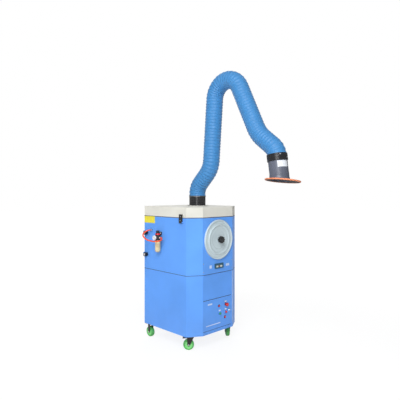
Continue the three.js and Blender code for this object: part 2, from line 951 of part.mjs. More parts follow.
// Cable gland low on the right of the back
const glandRadius = 13;
const glandLength = 30;
const glandX = 210;
const glandRise = 60;
const glandNutShare = 1.4;
const glandTipShare = 0.8;
addPart(
  model,
  "cable_gland",
  turned(
    [
      [glandRadius / 2, gap],
      [glandRadius * glandNutShare, gap],
      [glandRadius * glandNutShare, glandLength / 3],
      [glandRadius, glandLength / 3],
      [glandRadius * glandTipShare, glandLength],
      [glandRadius / 2, glandLength],
      [glandRadius / 2, gap],
    ],
    12,
    "back",
  ),
  looks.black,
  [glandX, backY, baseZ + glandRise],
);

// Compressed air regulator on the left side, with its hose to the bulkhead fitting

const regulatorStand = 40;
const regulatorY = 89;
const regulatorRise = 327;
const regulatorZ = seamZ + regulatorRise;
const regulatorBody = 50;
const regulatorRadius = 26;
const bowlRadius = 27.5;
const bowlLength = 115;
const bowlEndShare = 0.8;
const bowlSideShare = 0.9;
const airPortRadius = 9;
const airHoseRadius = 6.5;
const outletReach = 44;
const bulkheadSetback = 137;
const bulkheadRise = 61;
const bulkheadY = regulatorY + bulkheadSetback;
const bulkheadZ = regulatorZ + bulkheadRise;
const regulatorX = leftX - regulatorStand;
const regulator = addGroup(model, [regulatorX, regulatorY, regulatorZ]);
const bracketThickness = 3;
const bracketWidth = 26;
const bracketRise = 27;
const bonnetRadius = 21;
const bonnetHeight = 16;
const adjusterRadius = 17.5;
const adjusterHeight = 26;
const adjusterEdgeShare = 0.85;
const adjusterTopShare = 0.8;
const gaugeRadius = 22;
const gaugeDepth = 14;
const gaugeNeck = 8;

function regulatorBlock() {
  const half = regulatorBody / 2;
  const wall = regulatorStand - gap;
  const side = bracketWidth / 2;
  const body = turned(rodProfile(regulatorRadius, -half, half), 20);
  const arm = block([0, -side, half - bracketThickness], [wall, side, half]);
  const foot = block(
    [wall - bracketThickness, -side, half - bracketThickness],
    [wall, side, half + bracketRise],
  );
  const bonnet = turned(rodProfile(bonnetRadius, 0, half + bonnetHeight), 20);
  const inlet = turned(rodProfile(airPortRadius, 0, regulatorRadius + airPortRadius), 12, "back");
  const outlet = turned(rodProfile(airPortRadius, 0, outletReach), 12, "front");
  return join(body, arm, foot, bonnet, inlet, outlet);
}
addPart(regulator, "regulator_body", regulatorBlock(), looks.black);

const bowlTop = -regulatorBody / 2 - gap;
addPart(
  regulator,
  "regulator_bowl",
  turned(
    [
      [0, bowlTop - bowlLength],
      [bowlRadius * bowlEndShare, bowlTop - bowlLength],
      [bowlRadius, bowlTop - bowlLength * bowlSideShare],
      [bowlRadius, bowlTop],
      [0, bowlTop],
    ],
    20,
  ),
  looks.amber,
);
addPart(
  regulator,
  "regulator_knob",
  turned(
    [
      [0, 0],
      [adjusterRadius, 0],
      [adjusterRadius, adjusterHeight * adjusterEdgeShare],
      [adjusterRadius * adjusterTopShare, adjusterHeight],
      [0, adjusterHeight],
    ],
    20,
  ),
  looks.black,
  [0, 0, regulatorBody / 2 + bonnetHeight + gap],
);
addPart(
  regulator,
  "pressure_gauge",
  turned(
    [
      [0, gap],
      [airPortRadius, gap],
      [airPortRadius, gaugeNeck],
      [gaugeRadius, gaugeNeck],
      [gaugeRadius, gaugeNeck + gaugeDepth],
      [0, gaugeNeck + gaugeDepth],
    ],
    20,
    "left",
  ),
  looks.white,
  [-regulatorRadius, 0, 0],
);

const fittingLength = 24;
const fittingNutShare = 1.3;
addPart(
  model,
  "bulkhead_fitting",
  turned(
    [
      [0, gap],
      [airPortRadius * fittingNutShare, gap],
      [airPortRadius * fittingNutShare, fittingLength / 2],
      [airPortRadius, fittingLength / 2],
      [airPortRadius, fittingLength],
      [0, fittingLength],
    ],
    12,
    "left",
  ),
  looks.brass,
  [leftX, bulkheadY, bulkheadZ],
);

// The air hose's route from the regulator's middle, laid by hand
const airHoseRoute = [
  [0, -44.4, 0],
  [0, -50, 0],
  [-5, -65, -4],
  [-16, -77, -12],
  [-31, -81, -19],
  [-46, -77, -24],
  [-58, -65, -28],
  [-63, -48, -30],
  [-64, -25, -31],
  [-65, 0, -31],
  [-66, 30, -30],
  [-67, 60, -27],
  [-67, 90, -20],
  [-66, 115, -12],
  [-63, 140, -1],
  [-57, 158, 13],
  [-46, 167, 27],
  [-32, 168, 39],
  [-16, 160, 50],
  [-5, 147, 58],
  [5, 137, 61],
  [15.6, 137, 61],
];
const airHoseSteps = 38;
const airHosePath = new THREE.CatmullRomCurve3(
  airHoseRoute.map(([x, y, z]) => new THREE.Vector3(regulatorX + x, regulatorY + y, regulatorZ + z)),
  false,
  "centripetal",
);
const airHoseShape = new THREE.Shape(
  arcPoints(airHoseRadius, 8).map(([x, y]) => new THREE.Vector2(x, y)),
);
addPart(
  model,
  "air_hose",
  toSolid(
    new THREE.ExtrudeGeometry(airHoseShape, { steps: airHoseSteps, extrudePath: airHosePath }),
  ),
  looks.airHose,
);

// Lid, hinged along its rear edge, with the arm's collar

const lidHingeY = backY;
const lidGroup = addGroup(model, [0, lidHingeY, lidZ]);

function lidShell() {
  const at = [0, -lidHingeY, -lidZ];
  const outside = extruded(planOutline(0), lidZ, topZ, "up", at);
  const inside = extruded(planOutline(sheet), lidZ - overrun, topZ - sheet, "up", at);
  const neck = turned(
    rodProfile(collarRadius - collarWall, topZ - sheet - overrun, topZ + overrun),
    ringSides,
    "up",
    [0, collarY - lidHingeY, -lidZ],
  );
  const nub = block(
    [leftX - latchNubDepth, latchY - latchWidth / 3 - lidHingeY, latchNubRise],
    [leftX + sheet / 2, latchY + latchWidth / 3 - lidHingeY, latchNubRise + latchNubHeight],
  );
  return cut(join(cut(outside, inside), nub, mirrored(nub)), neck);
}

const ringSides = 24;
const collarWall = 4;
const collarFlange = 22;
const collarFoot = 6;
const collarBolts = 8;
const boltRadius = 6;
const boltHeight = 5;

addPart(lidGroup, "lid", lidShell(), looks.cream);

const collarGroup = addGroup(lidGroup, [0, collarY - lidHingeY, lidHeight]);

// Fixed collar with its bolted flange
function armCollar() {
  const ring = turned(
    [
      [collarRadius - collarWall, gap],
      [collarRadius + collarFlange, gap],
      [collarRadius + collarFlange, gap + collarFoot],
      [collarRadius, gap + collarFoot],
      [collarRadius, collarBase],
      [collarRadius - collarWall, collarBase],
      [collarRadius - collarWall, gap],
    ],
    ringSides,
  );
  const heads = arcPoints(collarRadius + collarFlange / 2, collarBolts).map(([x, y]) =>
    turned(rodProfile(boltRadius, collarFoot / 2, collarFoot + boltHeight), 6, "up", [x, y, 0]),
  );
  return join(ring, ...heads);
}
addPart(collarGroup, "arm_collar", armCollar(), looks.black);

// Hose route: the place and heading at a distance along the hose, in the arm's upright plane

function alongRoute(distance) {
  let forward = 0;
  let up = 0;
  let heading = 0;
  let left = distance;
  hoseRoute.forEach(({ run, bend, radius }) => {
    const step = Math.min(left, run);
    forward += step * Math.sin(heading);
    up += step * Math.cos(heading);
    left -= step;
    const arc = radius * Math.abs(bend) * degree;
    const swept = Math.min(left, arc);
    if (swept > 0) {
      const turn = (swept / arc) * bend * degree;
      const chord = 2 * radius * Math.sin(Math.abs(turn) / 2);
      forward += chord * Math.sin(heading + turn / 2);
      up += chord * Math.cos(heading + turn / 2);
      heading += turn;
      left -= swept;
    }
  });
  return { forward, up, heading };
}

// Distance along the hose to the start of a route step
const routeStart = (index) =>
  hoseRoute
    .slice(0, index)
    .reduce((sum, { run, bend, radius }) => sum + run + radius * Math.abs(bend) * degree, 0);

const arcOf = ({ bend, radius }) => radius * Math.abs(bend) * degree;
const hoseLength = routeStart(hoseRoute.length);
const shoulderAt = hoseRoute[0].run;
const elbowAt = routeStart(2) + hoseRoute[2].run + arcOf(hoseRoute[2]) / 2;
const wristAt = routeStart(4) + hoseRoute[4].run;
const lowerCutAt = routeStart(2) + hoseRoute[2].run / 2;
const upperCutAt = routeStart(3) + hoseRoute[3].run / 2;

const placeOf = ({ forward, up }) => [0, -forward, up];
const minus = (a, b) => a.map((value, axis) => value - b[axis]);

// Groups of the arm, each with its origin on its pivot
const swivel = addGroup(collarGroup, [0, 0, collarHeight]);
const shoulderPlace = placeOf(alongRoute(shoulderAt));
const elbowPlace = placeOf(alongRoute(elbowAt));
const wristPlace = placeOf(alongRoute(wristAt));
const lowerArm = addGroup(swivel, shoulderPlace);
const upperArm = addGroup(lowerArm, minus(elbowPlace, shoulderPlace));
const wrist = addGroup(upperArm, minus(wristPlace, elbowPlace));

// Ribbed tube along the route, with its bore, between two distances, seen from an origin
function ribbedHose(from, to, origin) {
  const ribs = Math.round((to - from) / ribPitch);
  const pitch = (to - from) / ribs;
  const rings = [];
  for (let i = 0; i <= 2 * ribs; i += 1) {
    const crest = i % 2 === 1;
    rings.push({ at: from + (i * pitch) / 2, radius: crest ? hoseCrest : hoseValley });
  }
  for (let i = ribs; i > 0; i -= ribsPerBoreRing) {
    rings.push({ at: from + i * pitch, radius: hoseBore });
  }
  rings.push({ at: from, radius: hoseBore });
  const positions = [];
  rings.forEach(({ at, radius }) => {
    const { forward, up, heading } = alongRoute(at);
    for (let k = 0; k < hoseSides; k += 1) {
      const angle = (k / hoseSides) * 2 * Math.PI;
      const across = radius * Math.cos(angle);
      positions.push(
        radius * Math.sin(angle) - origin[0],
        -forward - across * Math.cos(heading) - origin[1],
        up - across * Math.sin(heading) - origin[2],
      );
    }
  });
  const indices = [];
  rings.forEach((_, i) => {
    const next = (i + 1) % rings.length;
    for (let k = 0; k < hoseSides; k += 1) {
      const beside = (k + 1) % hoseSides;
      const [a, b] = [i * hoseSides + k, i * hoseSides + beside];
      const [c, d] = [next * hoseSides + beside, next * hoseSides + k];
      indices.push(a, b, c, a, c, d);
    }
  });
  const geometry = new THREE.BufferGeometry();
  geometry.setAttribute("position", new THREE.Float32BufferAttribute(positions, 3));
  geometry.setIndex(indices);
  return toSolid(geometry);
}
addPart(lowerArm, "hose_lower", ribbedHose(gap, lowerCutAt, shoulderPlace), looks.hose);
addPart(upperArm, "hose_middle", ribbedHose(lowerCutAt + gap, upperCutAt, elbowPlace), looks.hose);
addPart(wrist, "hose_upper", ribbedHose(upperCutAt + gap, hoseLength, wristPlace), looks.hose);

// Link plate in the arm's plane: round about a pivot, reaching back along a heading
function linkPlate(reach, heading, low, high) {
  const shape = new THREE.Shape();
  shape.absarc(0, 0, eyeRadius, 0, Math.PI);
  shape.absarc(0, -reach, eyeRadius, Math.PI, 2 * Math.PI);
  const geometry = new THREE.ExtrudeGeometry(shape, {
    depth: high - low,
    bevelEnabled: false,
    curveSegments: 4,
  });
  geometry.translate(0, 0, low);
  const along = new THREE.Vector3(0, -Math.sin(heading), Math.cos(heading));
  const sideways = new THREE.Vector3(1, 0, 0);
  const across = along.clone().cross(sideways);
  geometry.applyMatrix4(new THREE.Matrix4().makeBasis(across, along, sideways));
  return toSolid(geometry);
}

const cheekIn = eyeWidth / 2 + gap;
const cheekOut = cheekIn + cheekThickness;

// Fork of two cheeks with its pin, about a pivot
function fork(reach, heading) {
  const pin = turned(rodProfile(pinRadius, -cheekOut, cheekOut), 12, "right");
  const bridge = linkPlate(armRadius, heading, -cheekOut, cheekOut);
  const back = new THREE.Vector3(0, -Math.sin(heading), Math.cos(heading)).multiplyScalar(-reach);
  const web = toSolid(toGeometry(bridge).toNonIndexed().translate(...back.toArray()));
  return join(
    linkPlate(reach, heading, -cheekOut, -cheekIn),
    linkPlate(reach, heading, cheekIn, cheekOut),
    pin,
    web,
  );
}
const forkReach = 3 * eyeRadius;

// Eye that turns on a fork's pin
const eye = (reach, heading) => linkPlate(reach, heading, -eyeWidth / 2, eyeWidth / 2);
const eyeBore = () =>
  turned(rodProfile(boreFor(pinRadius, 12), -eyeWidth, eyeWidth), 12, "right");

// Bent tube that follows the hose between two distances, seen from an origin
class RouteCurve extends THREE.Curve {
  constructor(from, to, origin) {
    super();
    Object.assign(this, { from, to, origin });
  }

  getPoint(share, target = new THREE.Vector3()) {
    const place = placeOf(alongRoute(this.from + (this.to - this.from) * share));
    return target.set(...minus(place, this.origin));
  }
}
const armSteps = 9;
const tubeSetback = eyeRadius + sheet;

function armTube(from, to, origin) {
  const ring = (radius) => arcPoints(radius, 8).map(([x, y]) => new THREE.Vector2(x, y));
  const shape = new THREE.Shape(ring(armRadius));
  shape.holes.push(new THREE.Path(ring(armRadius - armWall)));
  const extrudePath = new RouteCurve(from, to, origin);
  return toSolid(new THREE.ExtrudeGeometry(shape, { steps: armSteps, extrudePath }));
}

const headingAt = (distance) => alongRoute(distance).heading;

function lowerArmTube() {
  const start = headingAt(shoulderAt + eyeRadius) + Math.PI;
  const end = headingAt(elbowAt - forkReach / 2);
  const elbowHere = minus(elbowPlace, shoulderPlace);
  const elbowFork = toGeometry(fork(forkReach, end)).toNonIndexed().translate(...elbowHere);
  const tube = armTube(shoulderAt + tubeSetback, elbowAt - forkReach, shoulderPlace);
  return cut(join(tube, eye(eyeRadius, start), toSolid(elbowFork)), eyeBore());
}
addPart(lowerArm, "lower_arm", lowerArmTube(), looks.steel);

function upperArmTube() {
  const start = headingAt(elbowAt + eyeRadius) + Math.PI;
  const end = headingAt(wristAt - forkReach / 2);
  const wristHere = minus(wristPlace, elbowPlace);
  const wristFork = toGeometry(fork(forkReach, end)).toNonIndexed().translate(...wristHere);
  const tube = armTube(elbowAt + tubeSetback, wristAt - forkReach, elbowPlace);
  return cut(join(tube, eye(eyeRadius, start), toSolid(wristFork)), eyeBore());
}
addPart(upperArm, "upper_arm", upperArmTube(), looks.steel);

// Swivel ring: it turns in the fixed collar and carries the shoulder fork on a cross bar
const spigotDepth = 26;
const crossBar = 12;

function swivelRing() {
  const bottom = collarBase - collarHeight + gap;
  const bore = collarRadius - collarWall;
  const spigot = bore * Math.cos(Math.PI / ringSides) - gap;
  const ring = turned(
    [
      [bore - 2 * collarWall, bottom - spigotDepth],
      [spigot, bottom - spigotDepth],
      [spigot, bottom],
      [collarRadius, bottom],
      [collarRadius, 0],
      [bore - 2 * collarWall, 0],
      [bore - 2 * collarWall, bottom - spigotDepth],
    ],
    ringSides,
  );
  const bar = block([-bore, -crossBar, -crossBar], [bore, crossBar, 0]);
  const shoulderFork = toGeometry(fork(shoulderAt + crossBar / 2, 0)).toNonIndexed();
  const yoke = toSolid(shoulderFork.translate(...shoulderPlace));
  const belowBar = block([-bore, -bore, -3 * crossBar], [bore, bore, -crossBar]);
  return join(ring, bar, cut(yoke, belowBar.intersect(turned(rodProfile(bore, -bore, 0), 8))));
}
addPart(swivel, "swivel_ring", swivelRing(), looks.black);

// Clamp of the hose's foot, with its screw block
const clampWidth = 16;
const clampThickness = 2;
const clampScrew = 16;

function hoseClamp() {
  const inside = hoseCrest + gap;
  const band = turned(tubeProfile(inside, inside + clampThickness, 0, clampWidth), ringSides);
  const screw = block(
    [inside, -clampScrew, 0],
    [inside + clampThickness + clampScrew / 2, clampScrew, clampWidth],
  );
  return join(band, screw);
}
addPart(swivel, "hose_clamp_lower", hoseClamp(), looks.steel, [0, 0, gap]);

// Wrist collar and hood, in a group that looks down the end of the hose

const hoseEnd = alongRoute(hoseLength);
const hoodTilt = hoseEnd.heading - Math.PI;
const hoseEndPlace = minus(placeOf(hoseEnd), wristPlace);
const hoodGroup = addGroup(wrist, hoseEndPlace, [hoodTilt, 0, 0]);

// Collar in which the hood turns, lapped over the hose's end and hung from the wrist pivot
function wristCollar() {
  const bore = boreFor(hoodRadius, ringSides);
  const ring = turned(tubeProfile(bore, cuffRadius, -gap - cuffHeight, -gap), ringSides);
  const lap = turned(tubeProfile(hoseCrest + gap, cuffRadius, -gap, cuffLap), ringSides);
  const bar = block([-bore - gap, -crossBar, -crossBar - gap], [bore + gap, crossBar, -gap]);
  const toPivot = new THREE.Vector3(...hoseEndPlace).negate();
  toPivot.applyAxisAngle(new THREE.Vector3(1, 0, 0), -hoodTilt);
  const heading = Math.atan2(-toPivot.y, toPivot.z);
  const hanger = toGeometry(eye(toPivot.length() - eyeRadius, heading)).toNonIndexed();
  const link = toSolid(hanger.translate(...toPivot.toArray()));
  const pivotBore = toSolid(toGeometry(eyeBore()).toNonIndexed().translate(...toPivot.toArray()));
  return cut(join(ring, lap, bar, link), pivotBore);
}
addPart(hoodGroup, "wrist_collar", wristCollar(), looks.black);

// The hood's flange lies almost level along the arm and rolled across it
const flangeMatrix = new THREE.Matrix4()
  .makeRotationX(flangePitch * degree - hoodTilt)
  .multiply(new THREE.Matrix4().makeRotationY(flangeRoll * degree))
  .premultiply(new THREE.Matrix4().makeTranslation(0, 0, -hoodLength))
  .multiply(new THREE.Matrix4().makeTranslation(0, -flangeOffset, 0));
const tilted = (solid) => toSolid(toGeometry(solid).toNonIndexed().applyMatrix4(flangeMatrix));

function hoodShell() {
  const top = -gap - crossBar - 2 * gap;
  const long = hoodLength + flangeRadius;
  const tube = turned(rodProfile(hoodRadius, -long, top), ringSides);
  const bore = turned(rodProfile(hoodRadius - hoodWall, -long - overrun, top + overrun), ringSides);
  const flange = tilted(turned(rodProfile(flangeRadius, 0, flangeThickness), rimSides));
  const far = 2 * flangeRadius;
  const below = tilted(block([-far, -far, -far], [far, far, 0]));
  return cut(join(cut(tube, below), flange), bore);
}
addPart(hoodGroup, "hood", hoodShell(), looks.dark);

function hoodRim() {
  const inside = flangeRadius + gap;
  return tilted(
    turned(
      [
        [inside, -rimThickness / 2],
        [inside + rimThickness / 2, -rimThickness / 2],
        [inside + rimThickness, 0],
        [inside + rimThickness, rimThickness],
        [inside + rimThickness / 2, rimThickness * rimCrestShare],
        [inside, rimThickness * rimCrestShare],
        [inside, -rimThickness / 2],
      ],
      rimSides,
    ),
  );
}
addPart(hoodGroup, "hood_rim", hoodRim(), looks.orange);

// Toggle levers
[-1, 1].forEach((side) => {
  const group = addGroup(model, [side * (rightX + latchStand), latchY, latchPinZ]);
  const lever = () => {
    const nubTop = latchDrop + latchNubRise + latchNubHeight;
    const face = latchStand - latchNubDepth - gap;
    const outline = [
      [-latchThickness, -latchThickness - sheet],
      [latchThickness, -latchThickness - sheet],
      [latchThickness, latchThickness],
      [face - latchBite + sheet, latchDrop * latchWaistShare],
      [face - latchBite - gap, nubTop + gap],
      [latchStand - latchNubDepth + latchBite, nubTop + gap],
      [latchStand - latchNubDepth + latchBite, nubTop + latchHead],
      [-latchThickness, nubTop + latchHead],
      [-latchThickness, nubTop - latchHead],
      [-latchThickness - sheet, latchDrop * latchWaistShare],
    ];
    const points = outline.map(([x, z]) => [-side * x, z]);
    const plate = extruded(points, -latchWidth / 2, latchWidth / 2, "front");
    return cut(plate, turned(rodProfile(boreFor(latchPin, 12), -latchWidth, latchWidth), 12, "back"));
  };
  addPart(group, side < 0 ? "latch_left" : "latch_right", lever(), looks.black);
});

// Casters: swivelling ones with brake pedals in front, rigid ones behind

const wheelSides = 20;
const hubProud = 2;
const hubWidth = tyreWidth + 2 * hubProud;
const hubShare = 0.4;
const webShare = 0.7;
const treadShare = 0.8;
const legGap = hubWidth / 2 + gap;
const raceHeight = 10;
const pinNut = 2;
const crownZ = casterHeight - casterPlate - 2 * gap - raceHeight;
const legHalf = 13;
const crownHalf = 24;

// Wheel about its axle along X, with a flat facet at the floor
function casterWheel() {
  const rim = tyreRadius / Math.cos(Math.PI / wheelSides);
  const half = tyreWidth / 2;
  const tread = half * treadShare;
  const bore = boreFor(axleRadius, 12);
  const hub = tyreRadius * hubShare;
  const web = tyreRadius * webShare;
  const profile = [
    [bore, -hubWidth / 2],
    [hub, -hubWidth / 2],
    [hub, -half / 2],
    [web, -half],
    [rim - half + tread, -half],
    [rim, -tread],
    [rim, tread],
    [rim - half + tread, half],
    [web, half],
    [hub, half / 2],
    [hub, hubWidth / 2],
    [bore, hubWidth / 2],
    [bore, -hubWidth / 2],
  ];
  const points = profile.map(([radius, x]) => new THREE.Vector2(radius, x));
  const geometry = new THREE.LatheGeometry(points, wheelSides).rotateZ(quarterTurn);
  return toSolid(geometry.rotateX(Math.PI / wheelSides));
}

// Fork plates and crown; the wheel's middle lies at a trail behind the kingpin, along +Y
function casterFork(trail, top) {
  const leg = (side) => {
    const outline = [
      [-crownHalf, top],
      [trail + legHalf, top],
      [trail + legHalf, tyreRadius],
      [trail, tyreRadius - legHalf],
      [trail - legHalf, tyreRadius],
    ];
    const inner = side * legGap;
    const outer = side * (legGap + forkSheet);
    const plate = extruded(
      outline.map(([y, z]) => [-z, y]),
      Math.min(inner, outer),
      Math.max(inner, outer),
      "right",
    );
    return plate;
  };
  const side = legGap + forkSheet;
  const crown = block([-side, -crownHalf, top - forkSheet], [side, trail + legHalf, top]);
  const axle = turned(
    rodProfile(axleRadius, -side - forkSheet, side + forkSheet),
    12,
    "right",
    [0, trail, tyreRadius],
  );
  return join(leg(-1), leg(1), crown, axle);
}

const kingpinRadius = 6;
const raceRadius = 26;
const frontSteer = { left: 45.4, right: -35 };

function frontCaster(side, x) {
  const station = addGroup(model, [x, frontY + frontCasterSetback, 0]);
  const plateBottom = casterHeight - gap - casterPlate;
  const half = plateWidth / 2;
  const plate = block([-half, -half, plateBottom], [half, half, casterHeight - gap]);
  const race = turned(rodProfile(raceRadius, crownZ + gap, plateBottom), 24);
  const kingpin = turned(rodProfile(kingpinRadius, crownZ - forkSheet - pinNut, crownZ + overrun), 12);
  addPart(station, `caster_plate_${side}`, join(plate, race, kingpin), looks.steel);
  const steered = addGroup(station, [0, 0, 0], [0, 0, frontSteer[side] * degree]);
  const pinHole = turned(
    rodProfile(boreFor(kingpinRadius, 12), crownZ - 3 * forkSheet, crownZ + overrun),
    12,
  );
  const body = cut(casterFork(casterTrail, crownZ), pinHole);
  addPart(steered, `caster_fork_${side}`, body, looks.black);
  const wheel = addGroup(steered, [0, casterTrail, tyreRadius]);
  addPart(wheel, `caster_wheel_front_${side}`, casterWheel(), looks.green);
  const pedal = addGroup(steered, [0, casterTrail + legHalf / 2, crownZ - 2 * forkSheet]);
  addPart(pedal, `brake_pedal_${side}`, brakePedal(), looks.black);
}

const pedalLength = 48;
const pedalThickness = 3;
const pedalDrop = 6;

// Pedal between the fork's legs, which dips down to the tread
function brakePedal() {
  const half = legGap - gap;
  const plate = block([-half, -pedalThickness, -pedalThickness], [half, pedalLength, 0]);
  const toe = block(
    [-half, pedalLength - pedalDrop, -pedalThickness - pedalDrop / 2],
    [half, pedalLength, pedalThickness],
  );
  return join(plate, toe);
}

frontCaster("left", leftX + frontCasterInset);
frontCaster("right", rightX - frontCasterInset);

[-1, 1].forEach((side) => {
  const name = side < 0 ? "left" : "right";
  const x = side * (rightX - rearCasterInset);
  const station = addGroup(model, [x, backY - rearCasterSetback, 0]);
  const plateTop = casterHeight - gap;
  const half = plateWidth / 2;
  const plate = block([-half, -half, plateTop - casterPlate], [half, half, plateTop]);
  const body = join(casterFork(0, plateTop), plate);
  addPart(station, `rigid_caster_${name}`, body, looks.black);
  const wheel = addGroup(station, [0, 0, tyreRadius]);
  addPart(wheel, `caster_wheel_rear_${name}`, casterWheel(), looks.green);
});

// The frame's origin: under the middle of the whole part, without the loose air hose
model.updateMatrixWorld(true);
const bounds = new THREE.Box3();
model.traverse((object) => {
  if (object.isMesh && object.name !== "air_hose") bounds.expandByObject(object, true);
});
const centre = bounds.getCenter(new THREE.Vector3());
model.position.set(-centre.x, -centre.y, -bounds.min.z);

export default model;
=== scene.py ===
import json
import math

import bmesh
import bpy
from mathutils import Matrix, Vector


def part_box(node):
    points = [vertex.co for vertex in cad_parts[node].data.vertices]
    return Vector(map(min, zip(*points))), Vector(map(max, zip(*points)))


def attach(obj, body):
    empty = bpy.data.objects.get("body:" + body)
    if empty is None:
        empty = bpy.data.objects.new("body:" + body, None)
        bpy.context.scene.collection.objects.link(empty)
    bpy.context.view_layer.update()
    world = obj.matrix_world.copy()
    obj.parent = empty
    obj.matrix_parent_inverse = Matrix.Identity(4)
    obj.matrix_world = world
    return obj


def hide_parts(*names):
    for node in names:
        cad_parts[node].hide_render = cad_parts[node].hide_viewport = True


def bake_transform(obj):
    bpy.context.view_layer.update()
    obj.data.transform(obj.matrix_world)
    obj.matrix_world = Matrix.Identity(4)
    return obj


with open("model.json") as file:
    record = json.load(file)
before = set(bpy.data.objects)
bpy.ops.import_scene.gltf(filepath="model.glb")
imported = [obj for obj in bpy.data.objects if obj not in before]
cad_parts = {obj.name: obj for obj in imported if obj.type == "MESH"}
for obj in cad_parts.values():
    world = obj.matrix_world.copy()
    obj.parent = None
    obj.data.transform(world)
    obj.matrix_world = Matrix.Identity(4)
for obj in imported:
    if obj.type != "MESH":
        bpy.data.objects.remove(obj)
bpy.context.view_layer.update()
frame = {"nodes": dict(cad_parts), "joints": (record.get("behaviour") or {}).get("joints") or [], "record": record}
nodes = frame["nodes"]

# sides of the cabinet, and the camera

shellLow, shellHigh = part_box("lower_shell")
middle = Vector(((shellLow.x + shellHigh.x) / 2, (shellLow.y + shellHigh.y) / 2, 0))
frontY, backY = shellLow.y, shellHigh.y
leftX, rightX = shellLow.x, shellHigh.x

cameraView = {"fromMiddle": Vector((-2.892, -3.041, 1.439)), "turn": -44.57, "lens": 37.65,
              "sensor": 36, "shift": -0.01755}
cameraData = bpy.data.cameras.new("photoCamera")
cameraData.lens = cameraView["lens"]
cameraData.sensor_width = cameraView["sensor"]
cameraData.shift_y = cameraView["shift"]
camera = bpy.data.objects.new("photoCamera", cameraData)
camera.location = middle + cameraView["fromMiddle"]
camera.rotation_euler = (math.radians(90), 0, math.radians(cameraView["turn"]))
bpy.context.collection.objects.link(camera)
bpy.context.scene.camera = camera


# helpers: places are in metres, and profiles, sizes and bevels in millimetres

def clearSelection():
    active = bpy.context.view_layer.objects.active
    if active and active.mode != "OBJECT":
        bpy.ops.object.mode_set(mode="OBJECT")
    bpy.ops.object.select_all(action="DESELECT")


def makeActive(piece):
    clearSelection()
    piece.select_set(True)
    bpy.context.view_layer.objects.active = piece


def named(name):
    # the piece that the last operator made
    piece = bpy.context.object
    piece.name = piece.data.name = name
    return piece


def editAll():
    bpy.ops.object.mode_set(mode="EDIT")
    bpy.ops.mesh.select_all(action="SELECT")


def closeMesh():
    # every face turned outwards
    bpy.ops.mesh.select_all(action="SELECT")
    bpy.ops.mesh.normals_make_consistent(inside=False)
    bpy.ops.object.mode_set(mode="OBJECT")


def extrudeAll(x=0.0, y=0.0, z=0.0):
    bpy.ops.mesh.extrude_region_move(TRANSFORM_OT_translate={"value": (x, y, z)})


def applyModifier(piece, kind, **values):
    makeActive(piece)
    modifier = piece.modifiers.new(kind.lower(), kind)
    for key, value in values.items():
        setattr(modifier, key, value)
    bpy.ops.object.modifier_apply(modifier=modifier.name)


def smooth(piece, angle=38):
    makeActive(piece)
    bpy.ops.object.shade_smooth_by_angle(angle=math.radians(angle))
    applyModifier(piece, "WEIGHTED_NORMAL", keep_sharp=True)
    return piece


def softenEdges(piece, width, segments=2, angle=30):
    applyModifier(piece, "BEVEL", width=width / 1000, segments=segments, limit_method="ANGLE",
                  angle_limit=math.radians(angle))
    return smooth(piece)


def settle(piece, place, turn):
    makeActive(piece)
    piece.rotation_euler = [math.radians(a) for a in turn]
    piece.location = place
    bpy.ops.object.transform_apply(location=True, rotation=True, scale=True)
    return piece


def moved(piece, *frames):
    for matrix in frames:
        piece.data.transform(matrix)
    return piece


# turns that point an upright axis, or a flat plate, to a side
axisTurn = {"up": (0, 0, 0), "front": (90, 0, 0), "back": (-90, 0, 0), "left": (0, -90, 0),
            "right": (0, 90, 0)}
plateTurn = {"front": (90, 0, 0), "left": (90, 0, -90), "right": (90, 0, 90)}


def spun(name, profile, steps=64, side="up", place=(0, 0, 0), angle=360, start=0, closed=False):
    # a chain of points, extruded one by one and spun about the upright axis
    line = [(r / 1000, z / 1000) for r, z in (profile + profile[:1] if closed else profile)]
    clearSelection()
    bpy.ops.mesh.primitive_plane_add(size=0.01)
    piece = named(name)
    bpy.ops.object.mode_set(mode="EDIT")
    sketch = bmesh.from_edit_mesh(piece.data)
    sketch.verts.ensure_lookup_table()
    bmesh.ops.delete(sketch, geom=sketch.verts[1:], context="VERTS")
    sketch.verts.ensure_lookup_table()
    sketch.verts[0].co = (line[0][0], 0, line[0][1])
    sketch.verts[0].select = True
    bmesh.update_edit_mesh(piece.data)
    for (r0, z0), (r1, z1) in zip(line, line[1:]):
        bpy.ops.mesh.extrude_vertices_move(
            TRANSFORM_OT_translate={"value": (r1 - r0, 0, z1 - z0)})
    if closed:
        bpy.ops.mesh.select_all(action="SELECT")
        bpy.ops.mesh.remove_doubles(threshold=1e-6)
    bpy.ops.mesh.select_all(action="SELECT")
    if start:
        bpy.ops.transform.rotate(value=-math.radians(start), orient_axis="Z",
                                 center_override=(0, 0, 0))
    bpy.ops.mesh.spin(steps=steps, angle=math.radians(angle), center=(0, 0, 0), axis=(0, 0, 1))
    bpy.ops.mesh.select_all(action="SELECT")
    bpy.ops.mesh.remove_doubles(threshold=1e-6)
    closeMesh()
    return settle(piece, place, axisTurn[side])


def plate(name, size, thickness, corner, side, place):
    # rounded plate that stands on its place and faces a side
    clearSelection()
    bpy.ops.mesh.primitive_plane_add(size=1)
    piece = named(name)
    piece.scale = (size[0] / 1000, size[1] / 1000, 1)
    bpy.ops.object.transform_apply(scale=True)
    editAll()
    bpy.ops.mesh.bevel(affect="VERTICES", offset=corner / 1000, segments=5)
    bpy.ops.mesh.select_all(action="SELECT")
    extrudeAll(z=thickness / 1000)
    closeMesh()
    return settle(piece, place, plateTurn[side])


